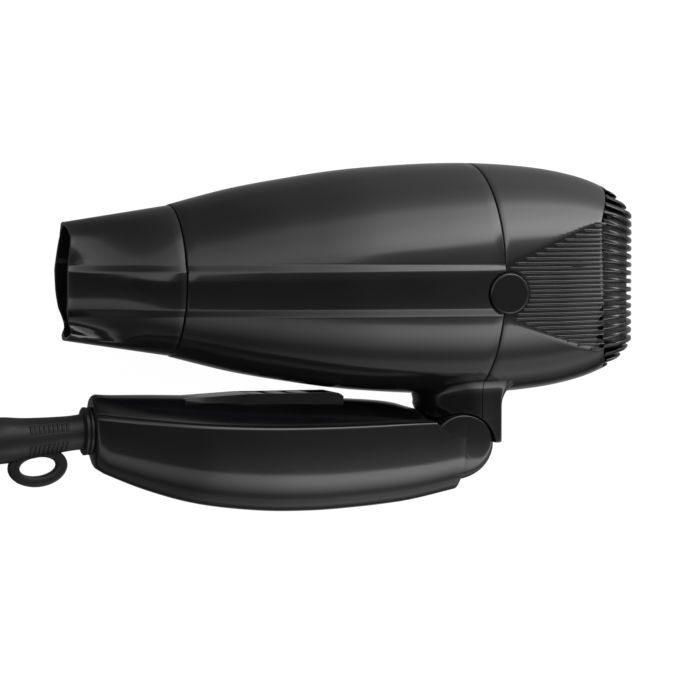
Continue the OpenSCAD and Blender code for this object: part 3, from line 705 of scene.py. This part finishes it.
def slat(height, points, faces):
    """One curved slat whose edge follows the body's surface."""
    limit = slat_limit(height)
    if limit < SLAT_SHORTEST:
        return
    steps = 36
    rings = []
    for k in range(steps + 1):
        angle = limit * (2 * k / steps - 1)
        level = slat_point(angle, height)[2]
        ring = []
        for inset, off in ((0.45, -0.5), (0.12, -0.38), (0, -0.15), (0, 0.15), (0.12, 0.38),
                           (0.45, 0.5), (SLAT_DEEP, 0.42), (SLAT_DEEP, -0.42)):
            y = level + off * SLAT_THICK
            px, pz = outline_point(angle, abs(y), inset)
            ring.append((px, y, pz))
        rings.append(ring)
    add(points, faces, loft(rings))


def rim(points, faces):
    """Frame of the grille behind the crease."""
    rings = [rear_ring(0, 1, 1.9, 0.1), rear_ring(0, 1, 1.9, 1.5),
             rear_ring(0, 1, 3.4, 1.5), rear_ring(0, 1, 3.4, 0.1)]
    add(points, faces, loft(rings, wrap=True))


def crescent(sign, points, faces):
    """Closed skin above the top slat and below the bottom one."""
    steps = 24
    rings = []
    for k in range(steps + 1):
        z = 18.0 * (2 * k / steps - 1)
        angle = math.atan2(math.sqrt(max(radius(88) ** 2 - z * z, 1)), z)
        for _ in range(3):
            x0 = crease_x(angle, 0.3)
            angle = math.atan2(math.sqrt(max(radius(x0) ** 2 - z * z, 1)), z)
        x0 = crease_x(angle, 0.3)
        x1 = x0
        while (x1 < TAIL_X - 0.1
               and radius(x1) ** 2 - z * z > slat_level(sign * CRESCENT_LEVEL, x1) ** 2):
            x1 += 0.05
        outer, inner = [], []
        for j in range(7):
            x = x0 + (x1 - x0) * j / 6
            y = math.sqrt(max(radius(x) ** 2 - z * z, 1))
            outer.append((x, sign * y, z))
            inner.append((x - 0.6, sign * (y - 1.6), z * 0.95))
        rings.append(outer + inner[::-1])
    add(points, faces, loft(rings))


def posts(points, faces):
    """Upright bars that hold the slats from inside."""
    for side in (-1, 1):
        low, high = side * POST_Z - 0.8, side * POST_Z + 0.8
        rings = []
        for k in range(9):
            y = POST_Y * (k / 4 - 1)
            back = POST_BACK - 3.2 * (abs(y) / POST_Y) ** 3
            rings.append([(POST_FRONT, y, low), (back, y, low), (back, y, high),
                          (POST_FRONT, y, high)])
        add(points, faces, loft(rings))


def make_grille():
    points, faces = [], []
    for k in range(SLATS):
        slat((k - (SLATS - 1) / 2) * SLAT_PITCH, points, faces)
    rim(points, faces)
    crescent(1, points, faces)
    crescent(-1, points, faces)
    posts(points, faces)
    piece("grille_slats", points, faces, "barrel", GRILLE, "grille_black", ("intake_grille",))


def make_gauze():
    """Fine domed gauze that lies against the slats from inside."""
    outer, inner = [], []
    for k in range(25):
        height = 30 * (2 * k / 24 - 1)
        limit = slat_limit(height) * 0.97
        for rows, inset in ((outer, 1.6), (inner, 2.1)):
            ring = []
            for j in range(49):
                angle = limit * (2 * j / 48 - 1)
                x, z, level = slat_point(angle, height, inset)
                ring.append((x, level * 0.97, z))
            rows.append(ring)
    rings = [a + b[::-1] for a, b in zip(outer, inner)]
    piece("filter_gauze", *loft(rings), "barrel", MESH_WIRE, "filter_steel",
          ("intake_filter",))


make_grille()
make_gauze()


# ---------------------------------------------------------------- screw caps
def make_caps():
    points, faces = [], []
    for side in (1, -1):
        top = CAP_FACE
        profile = [(37.05, 0.0), (37.05, CAP_R), (top - 0.5, CAP_R), (top - 0.2, CAP_R - 0.1),
                   (top - 0.05, CAP_R - 0.3), (top, CAP_R - 0.7), (top, CAP_R - 1.6),
                   (top, CAP_R - 4), (top, 0.0)]
        base = len(points)
        more, skin = turned([(side * u, r) for u, r in profile], 72, (CAP_X, CAP_Y), "z")
        points += more
        faces += [tuple(base + i for i in face) for face in skin]
    piece("screw_caps", points, faces, "barrel", COVER, "gloss_black", ("side_caps",))


make_caps()


# ---------------------------------------------------------------- nozzle
NOZZLE_SEAM_R, NOZZLE_BORE = 24.4, 21.3
NOZZLE_LEN, MOUTH_H, MOUTH_W = 33.5, 38.0, 10.4
MOUTH_Y = (-1, -0.92, -0.8, -0.7, -0.57, -0.42, -0.2, 0.05, 0.35, 0.58, 0.76, 0.89, 0.97)
MOUTH_Z = (0, 0.62, 0.5, 0.42, 0.54, 0.74, 0.92, 1, 1.01, 0.97, 0.86, 0.62, 0.32)
# How far the lip stands back from the tips of the mouth, by height
LIP = [(-19, 0.2), (-17, 1.2), (-15, 1.6), (-12, 0.9), (-9, 0.15), (-4, -0.25), (4, -0.4),
       (10, 0.4), (14.5, 1.0), (17, 0.7), (19, 0)]


def nozzle_base(t, inset):
    """Smooth half section of the nozzle at a fraction of its length."""
    count = len(MOUTH_Y)
    s = t * t * (3 - 2 * t) * 0.9 + t * 0.1
    r = NOZZLE_SEAM_R - inset
    half = []
    for i, (my, mz) in enumerate(zip(MOUTH_Y, MOUTH_Z)):
        a = math.radians(-90 + 180 * i / count)
        y = r * math.sin(a) * (1 - t) + (MOUTH_H / 2 - inset) * my * t
        mouth = 0 if i == 0 else max(MOUTH_W * mz - inset, 0.5)
        half.append((y, r * math.cos(a) * (1 - s) + mouth * s))
    top = r * (1 - t) + (MOUTH_H / 2 - inset) * t
    half.append((top, 0))
    ring = [(half[1][0], -half[1][1], 0)] + [(y, z, 0) for y, z in half]
    ring.append((half[-2][0], -half[-2][1], 0))
    line = smooth_line(ring, 8)[8:-8]
    return half[0][0], top, [(p.x, max(p.y, 0)) for p in line]


def sorted_table(table, low, high):
    """Keeps only points whose first value rises, so that it can be read."""
    kept = [(low, 0.0)]
    for y, z in table:
        if y > kept[-1][0] + 1e-4 and y < high - 1e-4:
            kept.append((y, z))
    return kept + [(high, 0.0)]


def nozzle_ring(t, inset=0.0, band=True, back=0.0):
    """Section of the nozzle from the seam (t = 0) to its lip (t = 1)."""
    low, top, table = nozzle_base(min(t, 1), inset)
    table = sorted_table(table, low, top)
    base = lambda y: between(table, y)
    rise = BAND_RISE if band else 0.0
    half = banded_half(base, lambda y: base(y) + rise, low, top, 0.4)
    end = SEAM_X - 0.3 - NOZZLE_LEN * t - 1.2 * t + back
    return [(end + between(LIP, y) * t ** 5, y, z) for y, z in closed_ring(half, low, top)]


def pulled(ring, inset):
    """A ring drawn in towards its own middle line."""
    out = []
    for x, y, z in ring:
        size = math.hypot(y, z)
        keep = (size - inset) / size if size > 0.01 else 1
        out.append((x, y * keep, z * keep))
    return out


def make_nozzle():
    rings = [pulled(nozzle_ring(0), 0.45), pulled(nozzle_ring(0, back=-0.06), 0.2),
             pulled(nozzle_ring(0, back=-0.2), 0.05)]
    rings += [nozzle_ring(0.012 + 0.978 * k / 26) for k in range(1, 27)]
    rings.append(nozzle_ring(1.0, back=0.05))
    for inset, back in ((0.18, -0.08), (0.75, -0.08), (1.0, 0.15)):
        rings.append(nozzle_ring(1.0, inset, band=False, back=back))
    for k in range(12):
        t = 0.98 - 0.80 * k / 11
        rings.append(nozzle_ring(t, 2.4 - 1.35 * t, band=False))
    rings += [round_ring(SEAM_X - depth, NOZZLE_BORE, rings[0]) for depth in (6.6, 0.3)]
    piece("nozzle_body", *loft(rings, wrap=True), "nozzle", GLOSS, "gloss_black", ("nozzle_shell",))


make_nozzle()


# ---------------------------------------------------------------- neck
HINGE = (36.5, -55.5)
KNUCKLE_R, KNUCKLE_W = 11.2, 17.0
NECK_NOSE = [(-54, 33.3), (-47.6, 29.2), (-44.6, 26.4), (-41.5, 25.2), (-37, 26), (-30, 27.5)]
NECK_BACK_X, NECK_FOOT = 50.2, -54.0
NECK_MIDDLE = 42.0
CORNER = 1.4
TONGUE_ROOM = (31, 47, -60, -20, -6, 6)
HINGE_SLOT = (20, 60, -80, -30, -5, 5)


def neck_outline(steps=72):
    """Base outline as (x, z, normal x, normal z): round nose, squarer back."""
    outline = []
    for k in range(steps // 2 + 1):
        a = math.pi / 2 + math.pi * k / (steps // 2)
        outline.append((NECK_MIDDLE + KNUCKLE_W * math.cos(a), KNUCKLE_W * math.sin(a),
                        math.cos(a), math.sin(a)))
    for side in (-1, 1):
        corner = []
        for k in range(7):
            a = math.pi / 2 * k / 6
            corner.append((NECK_BACK_X - CORNER + CORNER * math.sin(a),
                           side * (KNUCKLE_W - CORNER + CORNER * math.cos(a)),
                           math.sin(a), side * math.cos(a)))
        back = [(NECK_BACK_X, side * z, 1.0, 0.0) for z in (12.0, 8.0, 4.0)]
        outline += corner + back if side < 0 else back[::-1] + corner[::-1]
        if side < 0:
            outline.append((NECK_BACK_X, 0.0, 1.0, 0.0))
    return outline


def neck_column(x, z, nx, nz):
    """Points down one side of the neck, from a fillet on the barrel to its foot."""
    reach = 0.8 + 3.0 * abs(nz) ** 2 + (6.5 if nx > 0 else 0) * abs(nx) ** 2
    column = []
    for k in range(9):
        a = math.pi / 2 * k / 8
        out = reach * (1 - math.sin(a))
        down = reach * (1 - math.cos(a))
        px, pz = x + nx * out, z + nz * out
        surface = math.sqrt(radius(px) ** 2 - min(pz * pz, 900))
        column.append((px, -surface + 1.0 * (1 - k / 8) - down, pz))
    start = column[-1][1]
    for k in range(1, 11):
        y = start + (NECK_FOOT + 0.6 - start) * k / 10
        px = x
        if nx < 0:
            nose = between(NECK_NOSE, y)
            px = NECK_MIDDLE + (x - NECK_MIDDLE) * (NECK_MIDDLE - nose) / KNUCKLE_W
        column.append((px, y, z))
    px = column[-1][0]
    column.append((px - nx * 0.2, NECK_FOOT + 0.15, z - nz * 0.2))
    column.append((px - nx * 0.6, NECK_FOOT, z - nz * 0.6))
    return column


def make_neck():
    columns = [neck_column(*point) for point in neck_outline()]
    rings = [list(ring) for ring in zip(*columns)]
    points, faces = loft(rings)
    for name, side in (("neck_front", -1), ("neck_back", 1)):
        part = piece(name, points, faces, "barrel", GLOSS, "gloss_black")
        profile = [(-30, 0.02), (30, 0.02), (30, KNUCKLE_R + 0.3), (-30, KNUCKLE_R + 0.3)]
        cut(part, solid("tool", *turned(profile, 128, HINGE, "z")))
        x0, x1 = (REAR_X - GAP, 90.0) if side < 0 else (0.0, REAR_X + GAP)
        cut(part, box_tool(x0, x1, -70, -20, -40, 40))
        cut(part, box_tool(*TONGUE_ROOM))
        refine(part, 40)


def box_tool(x0, x1, y0, y1, z0, z1):
    rings = [[(x, y0, z0), (x, y1, z0), (x, y1, z1), (x, y0, z1)] for x in (x0, x1)]
    return solid("tool", *loft(rings))


make_neck()


# ---------------------------------------------------------------- handle
# Station along the handle: X, parting height, belly, half width, crown
STATIONS = [(-85, -42.2, -56.5, 7.4, -37.4), (-83.5, -42.4, -60.4, 9, -36.4),
            (-79, -42.9, -62.9, 10.9, -36.7), (-66, -44.2, -68.2, 14.8, -36.9),
            (-50, -45.6, -72.8, 17.7, -37.4), (-30, -46.5, -75.5, 19, -38.2),
            (-12, -46.7, -76.1, 19, -38.9), (4, -46.5, -75.4, 18.8, -39.6),
            (16, -46.2, -74.4, 18.4, -40.8), (24, -46.1, -73.4, 17.8, -43),
            (37.6, -46.2, -70.6, 17, -46)]
FRONT_X, SKIRT_X = -83.5, 37.6
EDGE, EDGE_DEEP = 1.2, 1.6
BELLY_POWER, SIDE_POWER = 1.0, 0.8


def column(index):
    """One column of the stations as a smooth table over X."""
    line = smooth_line([(s[0], s[index], 0) for s in STATIONS], 8)
    return [(p.x, p.y) for p in line]


PARTING, BELLY, WIDTH, CROWN = (column(i) for i in (1, 2, 3, 4))


def side_at(x, y):
    """Half width of the shell's side at a station and height."""
    top, low = between(PARTING, x), between(BELLY, x)
    q = min(1.0, max(0.0, (top - y) / (top - low))) ** (1 / BELLY_POWER)
    return between(WIDTH, x) * math.sqrt(max(0.0, 1 - q * q)) ** SIDE_POWER


def shell_section(x, inset=0.0):
    """Points from one rim round the belly to the other; the rim is softened."""
    top, low = between(PARTING, x), between(BELLY, x) + inset
    wide = between(WIDTH, x) - inset
    half = []
    steps = 30
    for k in range(steps + 1):
        share = k / steps
        a = math.pi / 2 * share ** 2
        c, q = math.cos(a), math.sin(a)
        y = top - (top - low) * q ** BELLY_POWER
        z = wide * max(c, 0) ** SIDE_POWER
        depth = top - y
        if depth < EDGE_DEEP and inset == 0:
            z -= EDGE * (1 - depth / EDGE_DEEP) ** 2
        half.append((y, z))
    return mirrored(half)


def shell_rings(inset):
    """Sections along the handle, closer together at its front end."""
    count = 44
    places = [-85.0, -84.9, -84.6, -84.1]
    places += [FRONT_X + (SKIRT_X - FRONT_X) * k / count for k in range(count + 1)]
    return [[(x, y, z) for y, z in shell_section(x, inset)]
            for x in places if x >= places[0] + inset]


def trough(outer, inner):
    """Outer and inner sheets of a half pipe; the number in a ring; the first inner point."""
    count = len(outer[0])
    points = [p for ring in outer + inner for p in ring]
    first_inner = len(outer) * count
    faces = []
    for base, rows, flip in ((0, len(outer), False), (first_inner, len(inner), True)):
        for r in range(rows - 1):
            for j in range(count - 1):
                a = base + r * count + j
                quad = (a, a + 1, a + count + 1, a + count)
                faces.append(quad[::-1] if flip else quad)
    return points, faces, count, first_inner


def end_caps(faces, starts, count):
    """Closes ends of a half pipe with quads from one of its sides to the other."""
    half = count // 2
    for start in starts:
        for j in range(half):
            a, b = start + j, start + count - 1 - j
            faces.append((a, a + 1, b - 1, b) if j + 1 < half else (a, a + 1, b))


def rims(faces, count, base, outer_rings, inner_rings, lead):
    """Joins both rims of the sheets; the inner one starts lead rings after the outer."""
    for side in (0, count - 1):
        outside = [r * count + side for r in range(outer_rings)]
        inside = [base + r * count + side for r in range(inner_rings)]
        faces.append(tuple(outside[:lead + 1] + [inside[0]]))
        for k in range(inner_rings - 1):
            faces.append((outside[k + lead], outside[k + lead + 1], inside[k + 1], inside[k]))
        if lead + inner_rings < outer_rings:
            faces.append(tuple(outside[lead + inner_rings - 1:] + [inside[-1]]))


def make_shell():
    outer, inner = shell_rings(0), shell_rings(WALL)
    points, faces, count, base = trough(outer, inner)
    last_out, last_in = (len(outer) - 1) * count, base + (len(inner) - 1) * count
    for j in range(count - 1):
        faces.append((last_out + j, last_out + j + 1, last_in + j + 1, last_in + j))
    end_caps(faces, (0, base), count)
    rims(faces, count, base, len(outer), len(inner), len(outer) - len(inner))
    faces.append((0, count - 1, base + count - 1, base))
    shell = piece("handle_body", points, faces, "handle", GLOSS, "gloss_black",
                  ("handle_shell",))
    relief = [(24.7, -38), (24.7, -45.2), (28.9, -48.4), (33, -52), (40, -52), (40, -38)]
    cut(shell, solid("tool", *loft([[(x, y, z) for x, y in relief] for z in (-30, 30)])))
    cut(shell, box_tool(*HINGE_SLOT))
    refine(shell)


make_shell()


def knuckle_side(x, y):
    """Half width of the knuckle, a hair inside the shell where the two lie together."""
    base = side_at(min(x, SKIRT_X), y) if y < -46.2 else KNUCKLE_W
    return min(base, KNUCKLE_W) - (0.04 if x < SKIRT_X + 0.5 else 0.0)


def make_knuckle():
    """Pillow about the hinge, flush with the handle's sides, slotted for the tongue."""
    steps = 120
    levels = [(r, None) for r in (0.0, 2.5, 4.5, 6.0, 7.0, 7.6)]
    levels += [(None, k / 8) for k in range(9)]
    rings = []
    for side in (1, -1):
        block = []
        for r, share in levels:
            ring = []
            for k in range(steps):
                a = 2 * math.pi * k / steps
                lower = max(0.0, min(1.0, 0.5 - math.sin(a) * 0.9 + math.cos(a) * 0.25))
                soft = 1.0 + 1.8 * lower
                if share is None:
                    reach, drop = min(r, KNUCKLE_R - soft), 0.0
                else:
                    turn = math.pi / 2 * share
                    reach = KNUCKLE_R - soft + soft * math.sin(turn)
                    drop = soft * (1 - math.cos(turn))
                x = HINGE[0] + reach * math.cos(a)
                y = HINGE[1] + reach * math.sin(a)
                ring.append((x, y, side * (knuckle_side(x, y) - drop)))
            block.append(ring)
        rings += block if side > 0 else block[::-1]
    knuckle = piece("handle_knuckle", *loft(rings), "handle", GLOSS, "gloss_black")
    cut(knuckle, box_tool(*HINGE_SLOT))
    refine(knuckle, 40)


make_knuckle()


# ---------------------------------------------------------------- handle cover
COVER_END = 24.0
SWITCH_SLOT = (-34.2, -3.8, -48, -30, -7.3, 7.3)


def cover_section(x, inset=0.0):
    """Low crown of the handle's inner cover, from one edge to the other."""
    low, top = between(PARTING, x) + 0.05, between(CROWN, x) - inset
    wide = between(WIDTH, x) - EDGE - 0.25 - inset
    half = []
    steps = 24
    lean = math.radians(44)
    for k in range(steps + 1):
        a = lean + (math.pi / 2 - lean) * k / steps
        rise = (math.sin(a) - math.sin(lean)) / (1 - math.sin(lean))
        half.append((low + (top - low) * rise, wide * max(math.cos(a), 0) / math.cos(lean)))
    return mirrored(half)


def make_cover():
    outer, inner = [], []
    stations = [-85.0, -84.7, -84.2, FRONT_X]
    stations += [FRONT_X + (COVER_END - FRONT_X) * k / 36 for k in range(1, 37)]
    for x in stations:
        outer.append([(x, y, z) for y, z in cover_section(x)])
        if FRONT_X < x <= COVER_END - WALL:
            inner.append([(x, y, z) for y, z in cover_section(x, WALL)])
    points, faces, count, base = trough(outer, inner)
    ends = ((0, base), ((len(outer) - 1) * count, base + (len(inner) - 1) * count))
    end_caps(faces, (ends[0][0], ends[1][0], ends[0][1], ends[1][1]), count)
    rims(faces, count, base, len(outer), len(inner), 4)
    for a, b in ends:
        faces.append((a, a + count - 1, b + count - 1, b))
    cover = piece("handle_top", points, faces, "handle", COVER, "dark_cover",
                  ("handle_cover",))
    cut(cover, box_tool(*SWITCH_SLOT))
    refine(cover)


make_cover()


def soft_slab(outline, z_half, edge=0.5):
    """Prism across the handle from an (x, y) outline, with rounded side edges."""
    middle = Vector((sum(p[0] for p in outline) / len(outline),
                     sum(p[1] for p in outline) / len(outline)))
    rings = []
    for z, inset in ((-z_half, edge), (-z_half + edge * 0.3, edge * 0.3),
                     (-z_half + edge, 0), (z_half - edge, 0),
                     (z_half - edge * 0.3, edge * 0.3), (z_half, edge)):
        ring = []
        for x, y in outline:
            away = Vector((x, y)) - middle
            keep = 1 - inset / max(away.length, inset * 2)
            ring.append((middle.x + away.x * keep, middle.y + away.y * keep, z))
        rings.append(ring)
    return loft(rings)


def rounded_outline(corners, reach, steps=4):
    line = []
    for i, corner in enumerate(corners):
        line += fillet(corners[i - 1], corner, corners[(i + 1) % len(corners)],
                       reach, steps)[1:-1]
    return [(p.x, p.y) for p in line]


def make_switch():
    wedge = [(-56, -37.9), (-35, -36.8), (-4, -36.9), (-2.2, -38), (-2.2, -42.4),
             (-35, -42.4), (-56, -39.5)]
    slab = soft_slab(rounded_outline(wedge, 0.35), 8.6)
    frame_piece = piece("switch_frame", *slab, "handle", COVER, "dark_cover")
    cut(frame_piece, box_tool(*SWITCH_SLOT))
    refine(frame_piece)
    points, faces = [], []
    parts = [[(-33.6, -41.2), (-12.6, -41.2), (-12.6, -39.3), (-33.6, -39.3)]]
    for k in range(3):
        x = -33.6 + 7.5 * k
        parts.append([(x, -39.6), (x + 6, -39.6), (x + 5.6, -36.9), (x + 0.4, -36.9)])
    for corners in parts:
        add(points, faces, soft_slab(rounded_outline(corners, 0.45), 6.9))
    foot = [(-25.6, -46), (-20.6, -46), (-20.6, -40.6), (-25.6, -40.6)]
    add(points, faces, soft_slab(foot, 2.6))
    piece("switch_slider", points, faces, "switch", GRILLE, "grille_black", ("switch_knob",))


make_switch()


# ---------------------------------------------------------------- strain relief
RELIEF_Y = -48.2
RELIEF = [(-87.2, RELIEF_Y, 5.8), (-93, -48.9, 5.7), (-106, -50.2, 6.7), (-114.5, -50.6, 7.5),
          (-122, -51, 6.8), (-130, -51.3, 5.2), (-139, -51.5, 4.2)]


def relief_line():
    """(x, height, radius) along the sleeve."""
    return [(p.x, p.y, p.z) for p in smooth_line(RELIEF, 8)]


def sleeve_ring(x, y, r):
    return [(x, y + r * math.cos(2 * math.pi * k / 56), r * math.sin(2 * math.pi * k / 56))
            for k in range(56)]


def make_relief():
    bore = CORD / 2 + 0.02
    line = relief_line()
    rings = [sleeve_ring(*p) for p in line]
    x, y, r = line[-1]
    rings += [sleeve_ring(x - 0.35, y, r - 0.25), sleeve_ring(x - 0.4, y, r - 0.6),
              sleeve_ring(x - 0.4, y, bore)]
    rings += [sleeve_ring(p[0], p[1], bore) for p in reversed(line)]
    piece("relief_sleeve", *loft(rings, wrap=True), "handle", RUBBER, "soft_black",
          ("strain_relief",))


def make_collar():
    profile = [(-85.1, 4.6), (-85.1, 7.3), (-85.3, 7.7), (-86.0, 7.7), (-86.15, 7.3),
               (-86.3, 7.2), (-86.45, 7.4), (-86.7, 7.75), (-87.5, 7.75), (-87.75, 7.4),
               (-87.9, 6.2), (-88.3, 5.6), (-88.3, 4.6)]
    part = turned(profile, 72, (RELIEF_Y, 0.0), "x")
    piece("relief_collar", *part, "handle", RUBBER, "soft_black")


def relief_ribs():
    points, faces = [], []
    line = relief_line()[::-1]
    heights, radii = [(x, y) for x, y, _ in line], [(x, r) for x, _, r in line]
    for side in (1, -1):
        for low, high in ((10, 44), (-62, -16)):
            for k in range(9):
                x = -93.6 - 1.48 * k
                y, r = between(heights, x), between(radii, x)
                rings = []
                for j in range(9):
                    a = math.radians(low + (high - low) * j / 8)
                    lift = 0.42 * math.sin(math.pi * j / 8) ** 0.4 if 0 < j < 8 else -0.1
                    ring = []
                    for dx, up in ((-0.5, -0.3), (-0.42, 0.45), (-0.18, 1), (0.18, 1),
                                   (0.42, 0.45), (0.5, -0.3)):
                        rr = r + lift * up
                        ring.append((x + dx, y + rr * math.sin(a), side * rr * math.cos(a)))
                    rings.append(ring)
                add(points, faces, loft(rings))
    piece("relief_ribs", points, faces, "handle", RUBBER, "soft_black")


def blunt(value, power):
    """A power of a value that keeps its sign."""
    return math.copysign(abs(value) ** power, value)


LOOP_C, LOOP_OUT, LOOP_IN, LOOP_T = (-102.4, -59.2), (9.6, 6.5), (6.0, 3.0), 2.2
LOOP_LEAN = math.radians(6)


def make_loop():
    rings = []
    for k in range(72):
        a = 2 * math.pi * k / 72
        inner = Vector((LOOP_IN[0] * math.cos(a), LOOP_IN[1] * math.sin(a)))
        outer = Vector((LOOP_OUT[0] * math.cos(a), LOOP_OUT[1] * math.sin(a)))
        ring = []
        for j in range(16):
            b = 2 * math.pi * j / 16
            u = 0.5 + 0.5 * blunt(math.cos(b), 0.55)
            z = LOOP_T * blunt(math.sin(b), 0.45)
            p = inner.lerp(outer, u)
            x = p.x * math.cos(LOOP_LEAN) - p.y * math.sin(LOOP_LEAN)
            y = p.x * math.sin(LOOP_LEAN) + p.y * math.cos(LOOP_LEAN)
            ring.append((LOOP_C[0] + x, LOOP_C[1] + y, z))
        rings.append(ring)
    piece("relief_loop", *loft(rings, wrap=True), "handle", RUBBER, "soft_black")


make_relief()
make_collar()
relief_ribs()
make_loop()


# ---------------------------------------------------------------- plug and tie
def plug_ring(x, half_y, half_z, power=0.5):
    """Section of the plug: square with round corners, rounder as power nears 1."""
    ring = []
    for k in range(48):
        a = 2 * math.pi * k / 48
        ring.append((PLUG_X - x, PLUG_Y + half_y * blunt(math.cos(a), power),
                     PLUG_Z + half_z * blunt(math.sin(a), power)))
    return ring


def make_plug():
    """Rounded body with a grip waist and a ribbed tapering boot."""
    stations = [(-8, 16.4, 7.6), (-7.7, 17.1, 8.2), (-7, 17.5, 8.5), (-2, 17.5, 8.5),
                (0, 17.2, 8.4), (0.3, 16.8, 8.1), (0.8, 16.8, 8.1), (1.1, 17, 8.3),
                (4, 16.4, 8.2), (9, 14.2, 7.7), (14, 11.2, 7.1), (19, 8.4, 6.6),
                (24, 6.6, 6.1), (26, 6.0, 5.9)]
    rings = [plug_ring(x, y, z, 0.5 + 0.3 * max(0.0, x) / 26) for x, y, z in stations]
    for k in range(5):
        x = 26.6 + 2.5 * k
        r = 5.6 - 0.4 * k
        rings += [plug_ring(x, r - 0.5, r - 0.5, 1), plug_ring(x + 0.35, r, r, 1),
                  plug_ring(x + 1.5, r - 0.1, r - 0.1, 1), plug_ring(x + 1.85, r - 0.6, r - 0.6, 1)]
    rings.append(plug_ring(40, 3.5, 3.5, 1))
    return piece("plug_shell", *loft(rings), "handle", PLUG_SKIN, "plug_black", ("plug_body",))


def make_tie():
    """Woven strap round the coil."""
    wide, low = 8.0, FLOOR + 0.25
    in_y, out_y = COIL_Y + 26.6, COIL_Y + 47.5
    top = FLOOR + 2 * CORD + 0.6
    corners = [(in_y, low), (out_y, low), (out_y + 0.3, low + 4), (out_y + 0.2, top - 3),
               (out_y - 2.5, top), (in_y + 2.5, top), (in_y - 0.2, top - 3), (in_y - 0.3, low + 4)]
    line = rounded_outline(corners, 1.8, 3)
    middle = Vector((sum(p[0] for p in line) / len(line), sum(p[1] for p in line) / len(line)))
    rings = []
    for dx, grow in ((-0.5, 0), (-0.5, 0.75), (-0.46, 0.85), (0.46, 0.85), (0.5, 0.75), (0.5, 0)):
        ring = []
        for y, z in line:
            away = Vector((y, z)) - middle
            spot = Vector((y, z)) + away.normalized() * grow
            ring.append((COIL_X + wide * dx, spot.x, max(spot.y, FLOOR + 0.02)))
        rings.append(ring)
    return piece("coil_strap", *loft(rings, wrap=True), "handle", TIE_CLOTH, "soft_black",
                 ("cord_tie",))


PLUG_PIECES = [make_plug(), make_tie(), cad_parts["plug_pins"],
               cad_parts["plug_pin_sleeves"]]


# ---------------------------------------------------------------- floor and light
def make_floor():
    size = 3.0
    mesh = bpy.data.meshes.new("floor")
    mesh.from_pydata([(-size, -size, 0), (size, -size, 0), (size, size, 0), (-size, size, 0)],
                     [], [(0, 1, 2, 3)])
    floor = show("floor", mesh)
    material, tree, shader = new_material("paper")
    feed(tree, shader, {"Base Color": (0.09, 0.09, 0.09, 1), "Roughness": 1.0,
                        "Specular IOR Level": 0.0, "Emission Color": (1, 1, 1, 1),
                        "Emission Strength": 0.97})
    bump(tree, shader, noise(tree, 900.0, 2.0), 0.02, 0.00002)
    paint(floor, material)
    floor.visible_glossy = False


# Brightness of the light tent around the object, by angle from the camera axis
# towards the top (positive) and towards the handle (negative).
TENT = [(-180, 0.4), (-160, 0.3), (-148, 0.1), (-140, 0.02), (-125, 0.22), (-113, 0.69),
        (-103, 0.66), (-93, 0.8), (-85, 0.41), (-77, 0.55), (-70, 1.38), (-62, 2.5), (-55, 3.5),
        (-45.8, 3.7), (-44.6, 0.8), (-20, 0.3), (0, 0.2), (19, 0.57), (25, 0.8), (33, 1.33),
        (34.6, 4.9), (44, 5.6), (51, 5.2), (58, 4.5), (65, 3.9), (72, 3.5), (80, 1.78),
        (88, 1.14), (100, 0.74), (129, 0.38), (152, 0.3), (180, 0.4)]
TENT_PEAK = 6.0


def make_light():
    world = bpy.data.worlds.new("tent")
    bpy.context.scene.world = world
    world.use_nodes = True
    tree = world.node_tree
    tree.nodes.clear()

    def math_node(kind, *values):
        return add_node(tree, "Math", dict(enumerate(values)), operation=kind).outputs[0]

    where = add_node(tree, "TexCoord", {}).outputs["Generated"]
    parts = add_node(tree, "SeparateXYZ", {0: where})
    x, y, z = parts.outputs
    angle = math_node("MULTIPLY", math_node("ARCTAN2", y, z), 180 / math.pi)
    lean = math_node("MULTIPLY", math_node("SUBTRACT", x, 0.27), 50)
    lean = math_node("MULTIPLY", lean, math_node("GREATER_THAN", angle, 0))
    angle = math_node("SUBTRACT", angle, lean)
    place = math_node("DIVIDE", math_node("ADD", angle, 180), 360)
    ramp = tree.nodes.new("ShaderNodeValToRGB")
    stops = ramp.color_ramp.elements
    while len(stops) > 1:
        stops.remove(stops[-1])
    for k, (degrees, level) in enumerate(TENT):
        stop = stops[0] if k == 0 else stops.new((degrees + 180) / 360)
        stop.position = (degrees + 180) / 360
        stop.color = (level / TENT_PEAK,) * 3 + (1,)
    feed(tree, ramp, {0: place})
    fade = math_node("ADD", math_node("MULTIPLY", x, 2.18), 0.41)
    fade = math_node("MINIMUM", math_node("MAXIMUM", fade, 0.35), 1.2)
    level = math_node("MULTIPLY", math_node("MULTIPLY", ramp.outputs["Color"], fade), TENT_PEAK)
    tent = add_node(tree, "Background", {"Strength": level}).outputs[0]
    plain = add_node(tree, "Background", {}).outputs[0]
    seen = add_node(tree, "LightPath", {}).outputs["Is Camera Ray"]
    mix = add_node(tree, "MixShader", {0: seen, 1: tent, 2: plain}).outputs[0]
    add_node(tree, "OutputWorld", {0: mix})
    bpy.context.scene.view_settings.view_transform = "Standard"


make_floor()
make_light()
